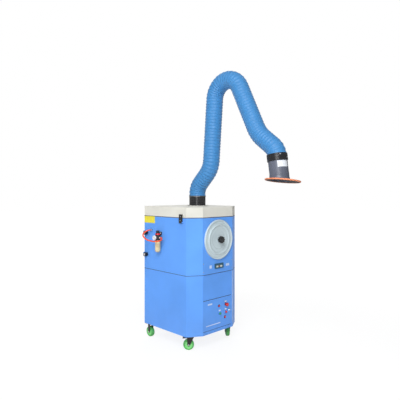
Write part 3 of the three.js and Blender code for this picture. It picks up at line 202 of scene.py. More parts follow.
def cadCopy(node, width, segments):
    # the CAD solid again, with its edges broken as on the real part
    piece = bpy.data.objects.new(node + "_formed", nodes[node].data.copy())
    bpy.context.collection.objects.link(piece)
    piece.data.materials.clear()
    makeActive(piece)
    editAll()
    bpy.ops.mesh.remove_doubles(threshold=1e-5)
    bpy.ops.mesh.dissolve_limited(angle_limit=math.radians(0.5))
    bpy.ops.object.mode_set(mode="OBJECT")
    return softenEdges(piece, width, segments)


def joined(name, *pieces):
    clearSelection()
    for piece in pieces:
        piece.select_set(True)
    bpy.context.view_layer.objects.active = pieces[0]
    bpy.ops.object.join()
    return named(name)


def dress(piece, body, slot, node=None, finish=None):
    # its finish, its body, and the solid that it stands for
    piece.data.materials.clear()
    piece.data.materials.append(finishes[finish or slot])
    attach(piece, body)
    if node:
        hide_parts(node)


def centreOf(node):
    low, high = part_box(node)
    return (low + high) / 2


# finishes

def colour(red, green, blue):
    # a colour as a paint chart gives it, 0 to 255
    def linear(value):
        value /= 255
        return value / 12.92 if value <= 0.04045 else ((value + 0.055) / 1.055) ** 2.4

    return (linear(red), linear(green), linear(blue), 1)


def shade(rgb, share):
    return colour(*[min(255, v * share) for v in rgb])


def fill(tree, node, values):
    # each input takes a link or a plain value
    for key, value in values.items():
        if isinstance(value, bpy.types.NodeSocket):
            tree.links.new(value, node.inputs[key])
        else:
            node.inputs[key].default_value = value


def made(tree, kind, values, output=0, **settings):
    # one node with its settings and inputs, by the output that is used
    node = tree.nodes.new("ShaderNode" + kind)
    for key, value in settings.items():
        setattr(node, key, value)
    fill(tree, node, values)
    return node.outputs[output]


def newFinish(name, roughness):
    finish = bpy.data.materials.new(name)
    finish.use_nodes = True
    tree = finish.node_tree
    shader = tree.nodes["Principled BSDF"]
    shader.inputs["Roughness"].default_value = roughness
    return finish, tree, shader, tree.nodes.new("ShaderNodeTexCoord")


def noise(tree, place, scale, detail=3.0, roughness=0.55, stretch=None):
    source = place.outputs["Object"]
    if stretch:
        source = made(tree, "Mapping", {"Vector": source, "Scale": stretch}, "Vector")
    return made(tree, "TexNoise", {"Vector": source, "Scale": scale, "Detail": detail,
                                   "Roughness": roughness}, "Fac")


def ramp(tree, source, stops):
    # a stop is its position and a colour, or one number for a grey
    node = tree.nodes.new("ShaderNodeValToRGB")
    elements = node.color_ramp.elements
    while len(elements) < len(stops):
        elements.new(0.5)
    for element, (position, value) in zip(elements, stops):
        element.position = position
        element.color = value if isinstance(value, tuple) else (value, value, value, 1)
    tree.links.new(source, node.inputs["Fac"])
    return node.outputs["Color"]


def spread(tree, source, low, high, first=0.0, last=1.0):
    # first to last becomes low to high
    return made(tree, "MapRange", {"Value": source, "From Min": first, "From Max": last,
                                   "To Min": low, "To Max": high}, "Result")


def worn(tree, place, scale, detail, low, high):
    return spread(tree, noise(tree, place, scale, detail), low, high)


def drifting(tree, place, rgb, scale, detail, dark, light, last=0.7):
    # the colour, which drifts between two shades of itself
    return ramp(tree, noise(tree, place, scale, detail),
                [(0.3, shade(rgb, dark)), (last, shade(rgb, light))])


def mix(tree, factor, first, second, blend="MIX"):
    return made(tree, "Mix", {0: factor, 6: first, 7: second}, 2, data_type="RGBA",
                blend_type=blend)


def math2(tree, operation, first, second):
    return made(tree, "Math", {0: first, 1: second}, operation=operation)


def bump(tree, *heights):
    # each height is its texture, its strength and its depth in metres
    normal = None
    for source, strength, depth in heights:
        values = {"Height": source, "Strength": strength, "Distance": depth}
        if normal:
            values["Normal"] = normal
        normal = made(tree, "Bump", values, "Normal")
    return normal


def paintFinish(name, rgb, roughness=0.42, drift=0.05, grime=0.12, peel=0.25, shine=0.5,
                coat=0.08):
    # powder coat: a slow drift in its tone, orange peel, and dust towards the floor
    finish, tree, shader, place = newFinish(name, roughness)
    height = made(tree, "SeparateXYZ", {"Vector": place.outputs["Object"]}, "Z")
    dust = math2(tree, "MULTIPLY", spread(tree, height, grime, 0.0, 0.12, 0.42),
                 noise(tree, place, 14, 5))
    tone = drifting(tree, place, rgb, 2.2, 4, 1 - drift, 1 + drift / 2)
    fill(tree, shader, {
        "Base Color": mix(tree, dust, tone, colour(150, 145, 135)),
        "Roughness": worn(tree, place, 9, 4, roughness - 0.06, roughness + 0.08),
        "Normal": bump(tree, (noise(tree, place, 420, 2), peel, 0.00008)),
        "Specular IOR Level": shine, "Coat Weight": coat, "Coat Roughness": 0.2})
    return finish


def plasticFinish(name, rgb, roughness=0.45, drift=0.06, grain=0.3, coat=0.0):
    # moulded plastic: fine spark grain and hand-worn patches
    finish, tree, shader, place = newFinish(name, roughness)
    fill(tree, shader, {
        "Base Color": drifting(tree, place, rgb, 22, 4, 1 - drift, 1 + drift, 0.75),
        "Roughness": worn(tree, place, 60, 4, roughness - 0.08, roughness + 0.1),
        "Normal": bump(tree, (noise(tree, place, 1400, 2), grain, 0.00005)),
        "Coat Weight": coat})
    return finish


def metalFinish(name, rgb, roughness=0.3, brushed=(1, 1, 1), spangle=0.1):
    # plated or drawn metal: blotches of the plating and fine lines of the tool
    finish, tree, shader, place = newFinish(name, roughness)
    cells = made(tree, "TexVoronoi", {"Scale": 90, "Vector": place.outputs["Object"]}, "Color")
    tone = drifting(tree, place, rgb, 18, 4, 0.88, 1.06)
    lines = noise(tree, place, 260, 3, 0.6, brushed)
    fill(tree, shader, {
        "Base Color": mix(tree, spangle, tone, cells, "SOFT_LIGHT"), "Metallic": 1.0,
        "Roughness": spread(tree, lines, roughness - 0.08, roughness + 0.14),
        "Normal": bump(tree, (lines, 0.2, 0.00004))})
    return finish


def rubberFinish(name, rgb, roughness=0.6, drift=0.1, scuff=0.25):
    # soft rubber or soft paint, with pale scuffs
    finish, tree, shader, place = newFinish(name, roughness)
    tone = drifting(tree, place, rgb, 16, 5, 1 - drift, 1 + drift)
    marks = ramp(tree, noise(tree, place, 55, 6, 0.7), [(0.58, 0), (0.72, scuff)])
    fill(tree, shader, {
        "Base Color": mix(tree, marks, tone, colour(150, 146, 138)),
        "Roughness": worn(tree, place, 40, 4, roughness - 0.08, roughness + 0.12),
        "Normal": bump(tree, (noise(tree, place, 700, 3), 0.3, 0.00008))})
    return finish


def hoseFinish(name, rgb):
    # coated cloth over a wire: weave across the tube, painted shade in the folds and painted light on the crests,
    # and pale dust in patches
    finish, tree, shader, place = newFinish(name, 0.52)

    def threads(direction, scale):
        return made(tree, "TexWave", {"Scale": scale, "Distortion": 0.4, "Detail": 1.0,
                                      "Vector": place.outputs["UV"]}, "Fac",
                    bands_direction=direction)

    weave = mix(tree, 0.5, threads("X", 90), threads("Y", 5), "MULTIPLY")
    along = made(tree, "SeparateXYZ", {"Vector": place.outputs["UV"]}, "Y")
    # painted shade: darker in each rib's valley, lighter on its crest
    foldShade = ramp(tree, made(tree, "Math", {0: along}, operation="FRACT"),
                [(0.0, 0.0), (0.16, 0.5), (0.5, 1.0), (0.84, 0.5), (1.0, 0.0)])
    drift = ramp(tree, noise(tree, place, 5, 5), [(0.3, 0.94), (0.7, 1.0)])
    tone = mix(tree, 1.0, mix(tree, foldShade, shade(rgb, 0.78), shade(rgb, 1.04)), drift, "MULTIPLY")
    dust = ramp(tree, noise(tree, place, 28, 6, 0.65), [(0.55, 0), (0.8, 0.22)])
    fill(tree, shader, {
        "Base Color": mix(tree, dust, tone, colour(150, 190, 225)),
        "Roughness": worn(tree, place, 30, 4, 0.44, 0.62),
        "Normal": bump(tree, (noise(tree, place, 45, 4), 0.35, 0.0012), (weave, 0.35, 0.00025)),
        "Sheen Weight": 0.25, "Sheen Roughness": 0.4})
    return finish


def mediaFinish(name, rgb):
    # pleated filter cloth, greyer where dust has settled
    finish, tree, shader, place = newFinish(name, 0.9)
    fill(tree, shader, {"Base Color": drifting(tree, place, rgb, 12, 5, 0.8, 1.0),
                        "Normal": bump(tree, (noise(tree, place, 900, 3), 0.5, 0.0002))})
    return finish


def clearFinish(name, rgb, roughness=0.15):
    # tinted bowl or lens with a milky body
    finish, tree, shader, place = newFinish(name, roughness)
    fill(tree, shader, {
        "Base Color": drifting(tree, place, rgb, 30, 3, 0.9, 1.03),
        "Roughness": worn(tree, place, 50, 3, roughness, roughness + 0.12),
        "Normal": bump(tree, (noise(tree, place, 260, 2), 0.15, 0.00005)),
        "Transmission Weight": 0.12, "IOR": 1.49, "Coat Weight": 0.4})
    return finish


# one finish for each slot, then those that belong to visual pieces alone
finishes = {
    "cabinet_blue": paintFinish("cabinetBlue", (102, 163, 247), shine=0.1, coat=0.0),
    "lid_cream": paintFinish("lidCream", (222, 221, 212), 0.6, 0.05, 0.0, 0.25, 0.25, 0.0),
    "cover_grey": paintFinish("coverGrey", (194, 210, 216), 0.32, 0.06, 0.0, 0.15),
    "bare_steel": metalFinish("zincSteel", (176, 178, 180), 0.34, (1, 1, 6), 0.25),
    "arm_aluminium": metalFinish("drawnAluminium", (190, 192, 196), 0.28, (1, 1, 14)),
    "dark_paint": paintFinish("housingPaint", (84, 87, 95), 0.45),
    "hood_grey": paintFinish("hoodGrey", (94, 99, 114), 0.36, 0.08, 0.0, 0.2),
    "black_plastic": plasticFinish("blackPlastic", (30, 31, 33), 0.42),
    "black_metal": paintFinish("blackMetal", (26, 25, 27), 0.36, 0.1, 0.05, 0.25, 0.4, 0.05),
    "black_alloy": paintFinish("blackAlloy", (30, 30, 33), 0.24, 0.1, 0.0, 0.3),
    "green_tyre": rubberFinish("greenTyre", (82, 172, 84), 0.45, 0.07, 0.2),
    "filter_media": mediaFinish("filterMedia", (236, 233, 224)),
    "hose_fabric": hoseFinish("hoseCloth", (73, 166, 243)),
    "rim_orange": rubberFinish("rimOrange", (233, 142, 98), 0.5, 0.06, 0.1),
    "air_tube": plasticFinish("airTube", (255, 88, 38), 0.42, 0.04, 0.1),
    "bowl_amber": clearFinish("bowlAmber", (233, 214, 166)),
    "brass": metalFinish("platedBrass", (222, 218, 204), 0.25, (1, 1, 1), 0.05),
    "lens_red": clearFinish("lensRed", (226, 34, 40), 0.2),
    "cap_green": clearFinish("capGreen", (34, 170, 104), 0.25),
    "display_teal": plasticFinish("displayTeal", (26, 84, 108), 0.4),
    "gauge_white": plasticFinish("gaugeWhite", (236, 236, 233), 0.35, 0.03, 0.1, 0.2),
    "greenCore": rubberFinish("greenCore", (132, 216, 132), 0.4, 0.05, 0.1),
    # painted shade of the cabinet's gaps
    "paintedGapShade": rubberFinish("paintedGapShade", (52, 58, 78), 0.7, 0.1, 0.1),
    "lidSeal": rubberFinish("lidSeal", (88, 78, 70), 0.7, 0.1, 0.1),
    "labelWhite": plasticFinish("labelWhite", (226, 231, 238), 0.4, 0.02, 0.1),
    "labelYellow": plasticFinish("labelYellow", (232, 219, 62), 0.4, 0.03, 0.1),
    "labelPale": plasticFinish("labelPale", (192, 212, 244), 0.45, 0.02, 0.1),
    "windowPale": plasticFinish("windowPale", (200, 204, 196), 0.25, 0.03, 0.05, 0.3),
    "windowBrown": plasticFinish("windowBrown", (128, 82, 48), 0.3, 0.05, 0.05, 0.3),
    "flangeBlack": rubberFinish("flangeBlack", (30, 26, 26), 0.75, 0.1, 0.08),
    "clampSteel": metalFinish("clampSteel", (128, 130, 134), 0.42, (1, 1, 3), 0.1),
    "lockChrome": metalFinish("lockChrome", (226, 227, 229), 0.2, (1, 1, 1), 0.05),
    # painted highlight along the lower shell's right-hand bend
    "paintedFoldHighlight": paintFinish("paintedFoldHighlight", (196, 212, 240), 0.4, 0.02, 0.0),
}
print("finishes made:", len(finishes))

slotOf = {entry["node"]: entry["material_slot"] for entry in frame["record"]["subparts"]}
# the solids that no visual piece stands for show these
for name, slot in slotOf.items():
    nodes[name].data.materials.clear()
    nodes[name].data.materials.append(finishes[slot])

# air hose, from the regulator's outlet back into the side wall

regulatorZ = 1.014  # axis of the regulator's ports
airHose = {
    "diameter": 0.013,
    "outlet": Vector((leftX - 0.040, middle.y + 0.089, regulatorZ)),
    # millimetres from the outlet
    "route": [(0, -44.4, 0), (0, -50, 0), (-5, -65, -4), (-16, -77, -12), (-31, -81, -19),
              (-46, -77, -24), (-58, -65, -28), (-63, -48, -30), (-64, -25, -31), (-65, 0, -31),
              (-66, 30, -30), (-67, 60, -27), (-67, 90, -20), (-66, 115, -12), (-63, 140, -1),
              (-57, 158, 13), (-46, 167, 27), (-32, 168, 39), (-16, 160, 50), (-5, 147, 58),
              (5, 137, 61), (15.6, 137, 61)],
}


def throughPoints(points, share=12):
    # centripetal spline through the points, with its ends carried straight on
    places = [Vector(p) for p in points]
    places = [places[0] * 2 - places[1], *places, places[-1] * 2 - places[-2]]
    line = []
    for p0, p1, p2, p3 in zip(places, places[1:], places[2:], places[3:]):
        t0 = 0
        t1 = t0 + (p1 - p0).length ** 0.5
        t2 = t1 + (p2 - p1).length ** 0.5
        t3 = t2 + (p3 - p2).length ** 0.5
        for step in range(share):
            t = t1 + (t2 - t1) * step / share
            a1 = p0.lerp(p1, (t - t0) / (t1 - t0))
            a2 = p1.lerp(p2, (t - t1) / (t2 - t1))
            a3 = p2.lerp(p3, (t - t2) / (t3 - t2))
            b1 = a1.lerp(a2, (t - t0) / (t2 - t0))
            b2 = a2.lerp(a3, (t - t1) / (t3 - t1))
            line.append(b1.lerp(b2, (t - t1) / (t2 - t1)))
    return [*line, places[-2]]


def curveThrough(name, line, depth=0.0, resolution=4):
    data = bpy.data.curves.new(name, "CURVE")
    data.dimensions = "3D"
    data.twist_mode = "MINIMUM"
    data.bevel_depth = depth
    data.bevel_resolution = resolution
    data.use_fill_caps = depth > 0
    spline = data.splines.new("POLY")
    spline.points.add(len(line) - 1)
    for point, place in zip(spline.points, line):
        point.co = (*place, 1)
    curve = bpy.data.objects.new(name, data)
    bpy.context.collection.objects.link(curve)
    return curve


airLine = throughPoints([airHose["outlet"] + Vector(p) / 1000 for p in airHose["route"]])
airTube = curveThrough("air_tube", airLine, airHose["diameter"] / 2)
dress(airTube, "cabinet", "air_tube", "air_hose")

# suction hose

hose = {
    "collar": (middle.x, middle.y - 0.069, 1.402),
    # length of each straight run, then the bend after it in degrees and its radius
    "route": [(0.029, 45.4, 0.144), (0.123, -41, 0.207), (0.58, 150.2, 0.163),
              (0.421, -26.1, 0.268), (0.126, 43.5, 0.127), (0.008, 0, 0)],
    "crest": 0.0812,
    "valley": 0.0772,
    "roundness": 0.8,
    "pitch": 0.028,
    "wall": 0.0014,
    "sides": 48,
    "ribSteps": 8,
    "guideSteps": 240,
    "gap": 0.0003,
    "legRoom": 0.085,
    "footBend": 0.3,
    "wristBend": (0.05, 0.42),
}


def alongRoute(distance):
    # place and heading at a distance from the collar
    forward, up, heading, left = 0.0, 0.0, 0.0, distance
    for run, bend, radius in hose["route"]:
        step = min(left, run)
        forward += step * math.sin(heading)
        up += step * math.cos(heading)
        left -= step
        arc = radius * abs(math.radians(bend))
        swept = min(left, arc)
        if swept > 0:
            turn = swept / arc * math.radians(bend)
            chord = 2 * radius * math.sin(abs(turn) / 2)
            forward += chord * math.sin(heading + turn / 2)
            up += chord * math.cos(heading + turn / 2)
            heading += turn
            left -= swept
    x, y, z = hose["collar"]
    return Vector((x, y - forward, z + up)), heading


def routeStart(index):
    return sum(run + radius * abs(math.radians(bend)) for run, bend, radius in
               hose["route"][:index])


def unwrapTube(tube, pitch):
    # across the map is once round the tube, and up it is one for each rib
    sheet = tube.data.uv_layers.new(name="UVMap")
    for face in tube.data.polygons:
        turns = []
        for corner in face.loop_indices:
            place = tube.data.vertices[tube.data.loops[corner].vertex_index].co
            turns.append((math.atan2(place.z, place.y) / (2 * math.pi) + 0.5, place.x / pitch))
        wraps = max(t[0] for t in turns) > 0.8
        for corner, (around, along) in zip(face.loop_indices, turns):
            sheet.data[corner].uv = (around + 1 if wraps and around < 0.3 else around, along)


def ribbedTube(name, first, last):
    # one rib is drawn out ring by ring, repeated, and laid along its part of the route
    valley, steps = hose["valley"], hose["ribSteps"]
    ribs = round((last - first) / hose["pitch"])
    pitch = (last - first) / ribs
    clearSelection()
    bpy.ops.mesh.primitive_circle_add(vertices=hose["sides"], radius=valley,
                                      rotation=(0, math.radians(90), 0))
    tube = named(name)
    bpy.ops.object.transform_apply(rotation=True)
    editAll()
    radius = valley
    for step in range(1, steps + 1):
        swell = (0.5 - 0.5 * math.cos(2 * math.pi * step / steps)) ** hose["roundness"]
        wanted = valley + (hose["crest"] - valley) * swell
        extrudeAll(x=pitch / steps)
        bpy.ops.transform.resize(value=(1, wanted / radius, wanted / radius),
                                 center_override=(pitch * step / steps, 0, 0))
        radius = wanted
    closeMesh()
    applyModifier(tube, "ARRAY", count=ribs, use_relative_offset=False,
                  use_constant_offset=True, constant_offset_displace=(pitch, 0, 0),
                  use_merge_vertices=True, merge_threshold=0.0002)
    unwrapTube(tube, pitch)
    guideSteps = hose["guideSteps"]
    guide = curveThrough(name + "_guide", [alongRoute(first + (last - first) * i / guideSteps)[0]
                                           for i in range(guideSteps + 1)])
    applyModifier(tube, "CURVE", object=guide, deform_axis="POS_X")
    bpy.data.objects.remove(guide)
    applyModifier(tube, "SOLIDIFY", thickness=hose["wall"], offset=-1)
    makeActive(tube)
    bpy.ops.object.shade_smooth_by_angle(angle=math.radians(60))
    return tube


# the two legs below the crown stay straight, and the hose is cut in the middle of each
gap, hoseLength = hose["gap"], routeStart(len(hose["route"]))
lowerCut = routeStart(2) + hose["route"][2][0] / 2
upperCut = routeStart(3) + hose["route"][3][0] / 2
wristFrom, wristTo = [alongRoute(upperCut + reach)[0] for reach in hose["wristBend"]]
lowerTop = alongRoute(lowerCut)[0] - Vector((0, hose["legRoom"], 0))
upperTop = alongRoute(upperCut)[0] + Vector((0, hose["legRoom"], 0))
upperTop.z = lowerTop.z
hosePieces = {
    "hose_lower": (gap, lowerCut, "swivel", "lower_arm", alongRoute(gap)[0],
                   alongRoute(hose["footBend"])[0]),
    "hose_middle": (lowerCut + gap, upperCut, "lower_arm", "upper_arm", lowerTop, upperTop),
    "hose_upper": (upperCut + gap, hoseLength, "upper_arm", "wrist", wristFrom, wristTo),
}
for node, (first, last, held, moving, start, end) in hosePieces.items():
    tube = ribbedTube(node + "_ribbed", first, last)
    tube.data.materials.clear()
    tube.data.materials.append(finishes["hose_fabric"])
    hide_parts(node)
    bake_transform(tube)
print("hose made:", round(hoseLength, 3), "m")

# collar, turning ring and clamp, in a frame that stands on the collar

upright = Matrix.Translation(hose["collar"])
collar = {"bolts": 8, "circle": 0.091, "base": -0.093}
collarFlange = spun("collar_flange", [
    (80.3, -92.7), (102, -92.7), (102, -87.5), (100.8, -86.7), (80.3, -86.7)], 72, closed=True)
collarRing = spun("collar_ring", [
    (76, -92.7), (80, -92.7), (80, -86.7), (82.2, -86.5), (80.6, -84.5), (80, -82), (80, -57),
    (76, -57)], 72, closed=True)
boltHeads = []
for i in range(collar["bolts"]):
    angle = 2 * math.pi * i / collar["bolts"]
    place = (collar["circle"] * math.cos(angle), collar["circle"] * math.sin(angle),
             collar["base"])
    head = spun("bolt", [
        (0, 11.5), (6.88, 11.5), (8, 10.2), (8, 6.3), (12, 6.3), (12, 5), (0, 5)], 6)
    boltHeads.append(moved(head, Matrix.Translation(place)))
bolts = joined("collar_bolts", *boltHeads)
dress(moved(smooth(collarFlange), upright), "lid", "lid_cream")
dress(moved(smooth(collarRing), upright), "lid", "black_alloy", "arm_collar")
dress(moved(smooth(bolts, 30), upright), "lid", "bare_steel")

# sleeve of the turning ring, with three shallow grooves
sleeve = [(78.5, -56.6)]
for groove in (-52, -38, -24):
    sleeve += [(80.3, groove - 4), (80.3, groove - 1.6), (78.5, groove - 0.4),
               (78.5, groove + 0.4), (80.3, groove + 1.6)]
sleeve += [(80.3, -1.5), (79.3, -0.4), (76.5, -0.4), (76.5, -56.6)]
ringSleeve = smooth(spun("swivel_sleeve", sleeve, 72, closed=True))
dress(moved(ringSleeve, upright), "swivel", "black_alloy")

# rolled band with a bead along each edge, and its screw housing with the screw through it
clamp = {"level": 0.00555, "housing": 0.0824, "screw": 0.0871}
clampBand = spun("clamp_band", [
    (81.8, 0.8), (82.9, 0.8), (83.6, 2), (82.9, 3.4), (82.9, 7.7), (83.6, 9.1), (82.9, 10.3),
    (81.8, 10.3)], 72, closed=True)
housing = plate("clamp_housing", (24, 12.5), 7.5, 2, "right",
                (clamp["housing"], 0, clamp["level"]))
clampScrew = spun("clamp_screw", [
    (0, -15.5), (2.6, -15.5), (3.4, -15), (3.4, -12.2), (2.4, -12), (2.4, 15), (0, 15.3)], 16,
    "back", (clamp["screw"], 0, clamp["level"]))
clampBox = joined("clamp_box", housing, clampScrew)
dress(moved(softenEdges(clampBand, 0.2, 1), upright), "swivel", "bare_steel",
      "hose_clamp_lower", "clampSteel")
dress(moved(softenEdges(clampBox, 0.2, 1), upright), "swivel", "bare_steel")

# cuff over the hose's end: two rolled bands, and the screws that draw it tight
hoseEnd, endHeading = alongRoute(hoseLength)
hoodTilt = endHeading - math.pi
hoodFrame = Matrix.Translation(hoseEnd) @ Matrix.Rotation(hoodTilt, 4, "X")
cuff = {"bands": (-22, 4), "screwFace": 0.0864, "screws": ((-128, 4), (-82, -22), (70, 4))}
cuffLine = [(84.5, -42), (85.2, -42), (86.2, -41)]
for ridge in cuff["bands"]:
    cuffLine += [(86.2, ridge - 6.5), (85.2, ridge - 5.5), (85.2, ridge - 3.5), (86.8, ridge - 2),
                 (86.8, ridge + 2), (85.2, ridge + 3.5), (85.2, ridge + 5.5), (86.2, ridge + 6.5)]
cuffLine += [(86.2, 14.6), (85, 15.8), (84.5, 15.8)]
cuffSleeve = smooth(spun("wrist_cuff", cuffLine, 72, closed=True))
dress(moved(cuffSleeve, hoodFrame), "wrist", "black_alloy")
cuffScrews = []
for angle, level in cuff["screws"]:
    head = spun("cuff_screw", [
        (0, 1.6), (1, 1.6), (1.4, 3), (3.4, 2.8), (4.8, 1.6), (5, 0), (0, -0.4)], 24, "right",
        (cuff["screwFace"], 0, level / 1000))
    cuffScrews.append(moved(head, Matrix.Rotation(math.radians(angle), 4, "Z")))
dress(moved(smooth(joined("cuff_screws", *cuffScrews)), hoodFrame), "wrist", "bare_steel")

# hood: its tube is cut off in the flange's plane

hood = {"length": 0.208, "offset": 0.026, "roll": 6, "pitch": 1.5, "inside": 77.5}
flangeFrame = (Matrix.Translation((0, 0, -hood["length"]))
               @ Matrix.Rotation(math.radians(hood["pitch"]) - hoodTilt, 4, "X")
               @ Matrix.Rotation(math.radians(hood["roll"]), 4, "Y")
               @ Matrix.Translation((0, -hood["offset"], 0)))
flangeUp = flangeFrame.to_3x3() @ Vector((0, 0, 1))
hoodTube = spun("hood_tube", [
    (hood["inside"], -12.9), (79.6, -12.9), (80, -13.5), (80, -150), (81.5, -152), (81.5, -156),
    (80, -158), (80, -360), (hood["inside"], -360)], 72, closed=True)
makeActive(hoodTube)
editAll()
bpy.ops.mesh.bisect(plane_co=flangeFrame @ Vector((0, 0, 0.0005)), plane_no=-flangeUp,
                    clear_outer=True, use_fill=False)
bpy.ops.object.mode_set(mode="OBJECT")
dress(moved(smooth(hoodTube), hoodFrame), "hood", "hood_grey")

flangeDisc = spun("hood_flange", [
    (0, 0), (141.6, 0), (142, 0.6), (142, 2.6), (141.6, 3), (0, 3)], 96)
duct = spun("duct_cut", [(0, -50), (hood["inside"], -50), (hood["inside"], 50), (0, 50)], 72)
moved(duct, flangeFrame.inverted() @ Matrix.Translation((0, 0, -hood["length"])))
applyModifier(flangeDisc, "BOOLEAN", operation="DIFFERENCE", object=duct, solver="EXACT")
bpy.data.objects.remove(duct)
dress(moved(smooth(flangeDisc, 30), flangeFrame, hoodFrame), "hood", "hood_grey", "hood",
      "flangeBlack")

rimLine = [(142.3, -3)]
for i in range(9):
    angle = math.radians(-90 + 180 * i / 8)
    rimLine.append((143.8 + 4.4 * math.cos(angle), 3 + 6 * math.sin(angle)))
rimRing = smooth(spun("rim_trim", [*rimLine, (142.3, 9)], 96, closed=True), 50)
dress(moved(rimRing, flangeFrame, hoodFrame), "hood", "rim_orange", "hood_rim")

# flare that carries the tube into its flange, set in the flange's plane
flare = spun("hood_flare", [
    (80.2, 38), (81.4, 38), (82.2, 30), (84.5, 21), (88.5, 13.5), (94.5, 8), (101.5, 4.8),
    (109, 3.4), (109, 2.6), (80.2, 2.6)], 72, closed=True)
level = flangeFrame.translation
for corner in flare.data.vertices:
    slope = flangeUp.x * (corner.co.x - level.x) + flangeUp.y * (corner.co.y - level.y)
    corner.co.z += level.z - slope / flangeUp.z
dress(moved(smooth(flare, 50), hoodFrame), "hood", "hood_grey")

# bare label wrapped on the tube, on the side that faces the view
labelWrap = spun("hood_label", [(80.6, -100), (80.6, -48)], 24, angle=69, start=-80)
applyModifier(labelWrap, "SOLIDIFY", thickness=0.0005, offset=-1)
dress(moved(smooth(labelWrap), hoodFrame), "hood", "gauge_white", finish="labelWhite")
print("collars, clamps and hood made")

# filter cover: boss under the knob, sunk middle, bead, flat, groove, rolled rim, then its back

coverPlace = centreOf("filter_cover")
coverPlace.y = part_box("filter_cover")[1].y
coverDish = spun("cover_dish", [
    (4.8, 15), (30, 15), (33, 14.6), (35.5, 12.2), (38.5, 11), (86, 11), (88.5, 11.4),
    (91.5, 13.6), (94, 14), (119, 14), (123, 14.6), (126.8, 17.6), (130.5, 20.6), (134.5, 21.5),
    (138.5, 20.6), (142.5, 17.4), (146.2, 14.2), (150, 13.4), (164, 13.2), (166.5, 12.2),
    (169, 12), (171.2, 13), (173.5, 15.8), (176.2, 17.6), (179.5, 18.2), (182.8, 17.6),
    (185.2, 15.8), (186.8, 13), (187.3, 10), (187.3, 0.6), (186.7, 0), (184.5, 0), (184.3, 7),
    (160, 7.5), (4.8, 8.5)], 128, "front", coverPlace, closed=True)
dress(smooth(coverDish, 40), "cover", "cover_grey", "filter_cover")

# star knob: a wavy outline drawn out and in again, on a short neck
knob = {"radius": 0.033, "lobes": 8, "wave": 0.0036, "level": 0.0273,
        "steps": ((2.5, 1), (25, 1), (4.5, 0.93), (2, 0.84), (0.8, 0.62), (-1.4, 0.94))}
clearSelection()
bpy.ops.mesh.primitive_circle_add(vertices=128, radius=knob["radius"], fill_type="NGON")
starHead = named("knob_head")
for corner in starHead.data.vertices:
    angle = math.atan2(corner.co.y, corner.co.x)
    reach = knob["radius"] - knob["wave"] + knob["wave"] * math.cos(knob["lobes"] * angle)
    corner.co = (reach * math.cos(angle), reach * math.sin(angle), knob["level"])
editAll()
for rise, share in knob["steps"]:
    extrudeAll(z=rise / 1000)
    bpy.ops.transform.resize(value=(share, share, 1))
closeMesh()
knobNeck = spun("knob_neck", [
    (0, 15.3), (16, 15.3), (16.5, 16), (15, 20), (15, 24.5), (17, 28.5), (0, 28.5)], 48)
starKnob = settle(joined("star_grip", starHead, knobNeck), coverPlace, axisTurn["front"])
dress(softenEdges(starKnob, 0.8, 2, 40), "cover_knob", "black_plastic", "star_knob")
print("filter cover made")

# sheet metal and castings: width of each broken edge, and its segments

bodyOf = {node: body for body, names in frame["record"]["behaviour"]["bodies"].items()
          for node in names}
formed = {
    "lower_shell": (0.9, 3), "upper_shell": (0.9, 3), "front_cover": (0.9, 3),
    "control_door": (0.8, 2), "rear_door": (0.9, 2), "dust_drawer": (0.8, 2), "lid": (1.4, 3),
    "display_panel": (0.8, 2), "rear_door_handle": (2.5, 3), "rear_hinge_lower": (1, 2),
    "rear_hinge_upper": (1, 2), "door_lock": (0.5, 2), "caster_plate_left": (0.8, 2),
    "caster_plate_right": (0.8, 2), "caster_fork_left": (0.9, 2), "caster_fork_right": (0.9, 2),
    "rigid_caster_left": (0.9, 2), "rigid_caster_right": (0.9, 2), "brake_pedal_left": (0.9, 2),
    "brake_pedal_right": (0.9, 2), "regulator_body": (1, 2), "middle_deck": (0.3, 1),
    "swivel_ring": (0.4, 1), "wrist_collar": (0.4, 1), "lower_arm": (0.5, 1),
    "upper_arm": (0.5, 1), "air_tank": (1, 1), "fan_motor": (1, 1), "fan_housing": (0.6, 1),
}
for node, (width, segments) in formed.items():
    dress(cadCopy(node, width, segments), bodyOf[node], slotOf[node], node,
          "lockChrome" if node == "door_lock" else None)
print("sheet metal formed:", len(formed))

# the lid's seal, and a dark strip of painted shade in the seam at the deck, which follow the cabinet's plan

cabinet = {"cornerWidth": 0.130, "cornerDepth": 0.084, "deck": 0.687, "top": 1.215}
hair = 0.00005  # keeps a flat plate out of the plane of the wall under it


def planPoints(proud):
    # the cabinet's plan, let out by a little
    halfX, halfY = (rightX - leftX) / 2, (backY - frontY) / 2
    wide, deep = cabinet["cornerWidth"], cabinet["cornerDepth"]
    slant = math.hypot(wide, deep)
    side, front, back = halfX + proud, -halfY - proud, halfY + proud
    nose = halfX - wide + proud * (slant - wide) / deep
    cut = halfY - deep + proud * (slant - deep) / wide
    outline = [(-nose, front), (nose, front), (side, -cut), (side, back), (-side, back),
               (-side, -cut)]
    return [(middle.x + x, middle.y + y) for x, y in outline]


def sealAndShadeBand(name, low, high, proud, thickness, finish):
    # strip round the cabinet, from a six-sided ring pulled on to its plan
    clearSelection()
    bpy.ops.mesh.primitive_circle_add(vertices=6, radius=0.3)
    band = named(name)
    for corner, (x, y) in zip(band.data.vertices, planPoints(proud)):
        corner.co = (x, y, low)
    band.data.update()
    editAll()
    extrudeAll(z=high - low)
    closeMesh()
    applyModifier(band, "SOLIDIFY", thickness=thickness, offset=-1)
    dress(softenEdges(band, 0.3), "cabinet", "black_plastic", finish=finish)


# painted shade: a dark strip along the seam at the deck, for the shadow in the gap
sealAndShadeBand("seam_shade_strip", cabinet["deck"] - 0.0022, cabinet["deck"] + 0.0022, 0.0005, 0.0011,
         "paintedGapShade")
sealAndShadeBand("lid_seal", cabinet["top"] - 0.0062, cabinet["top"] - 0.0004, 0.0008, 0.0014, "lidSeal")
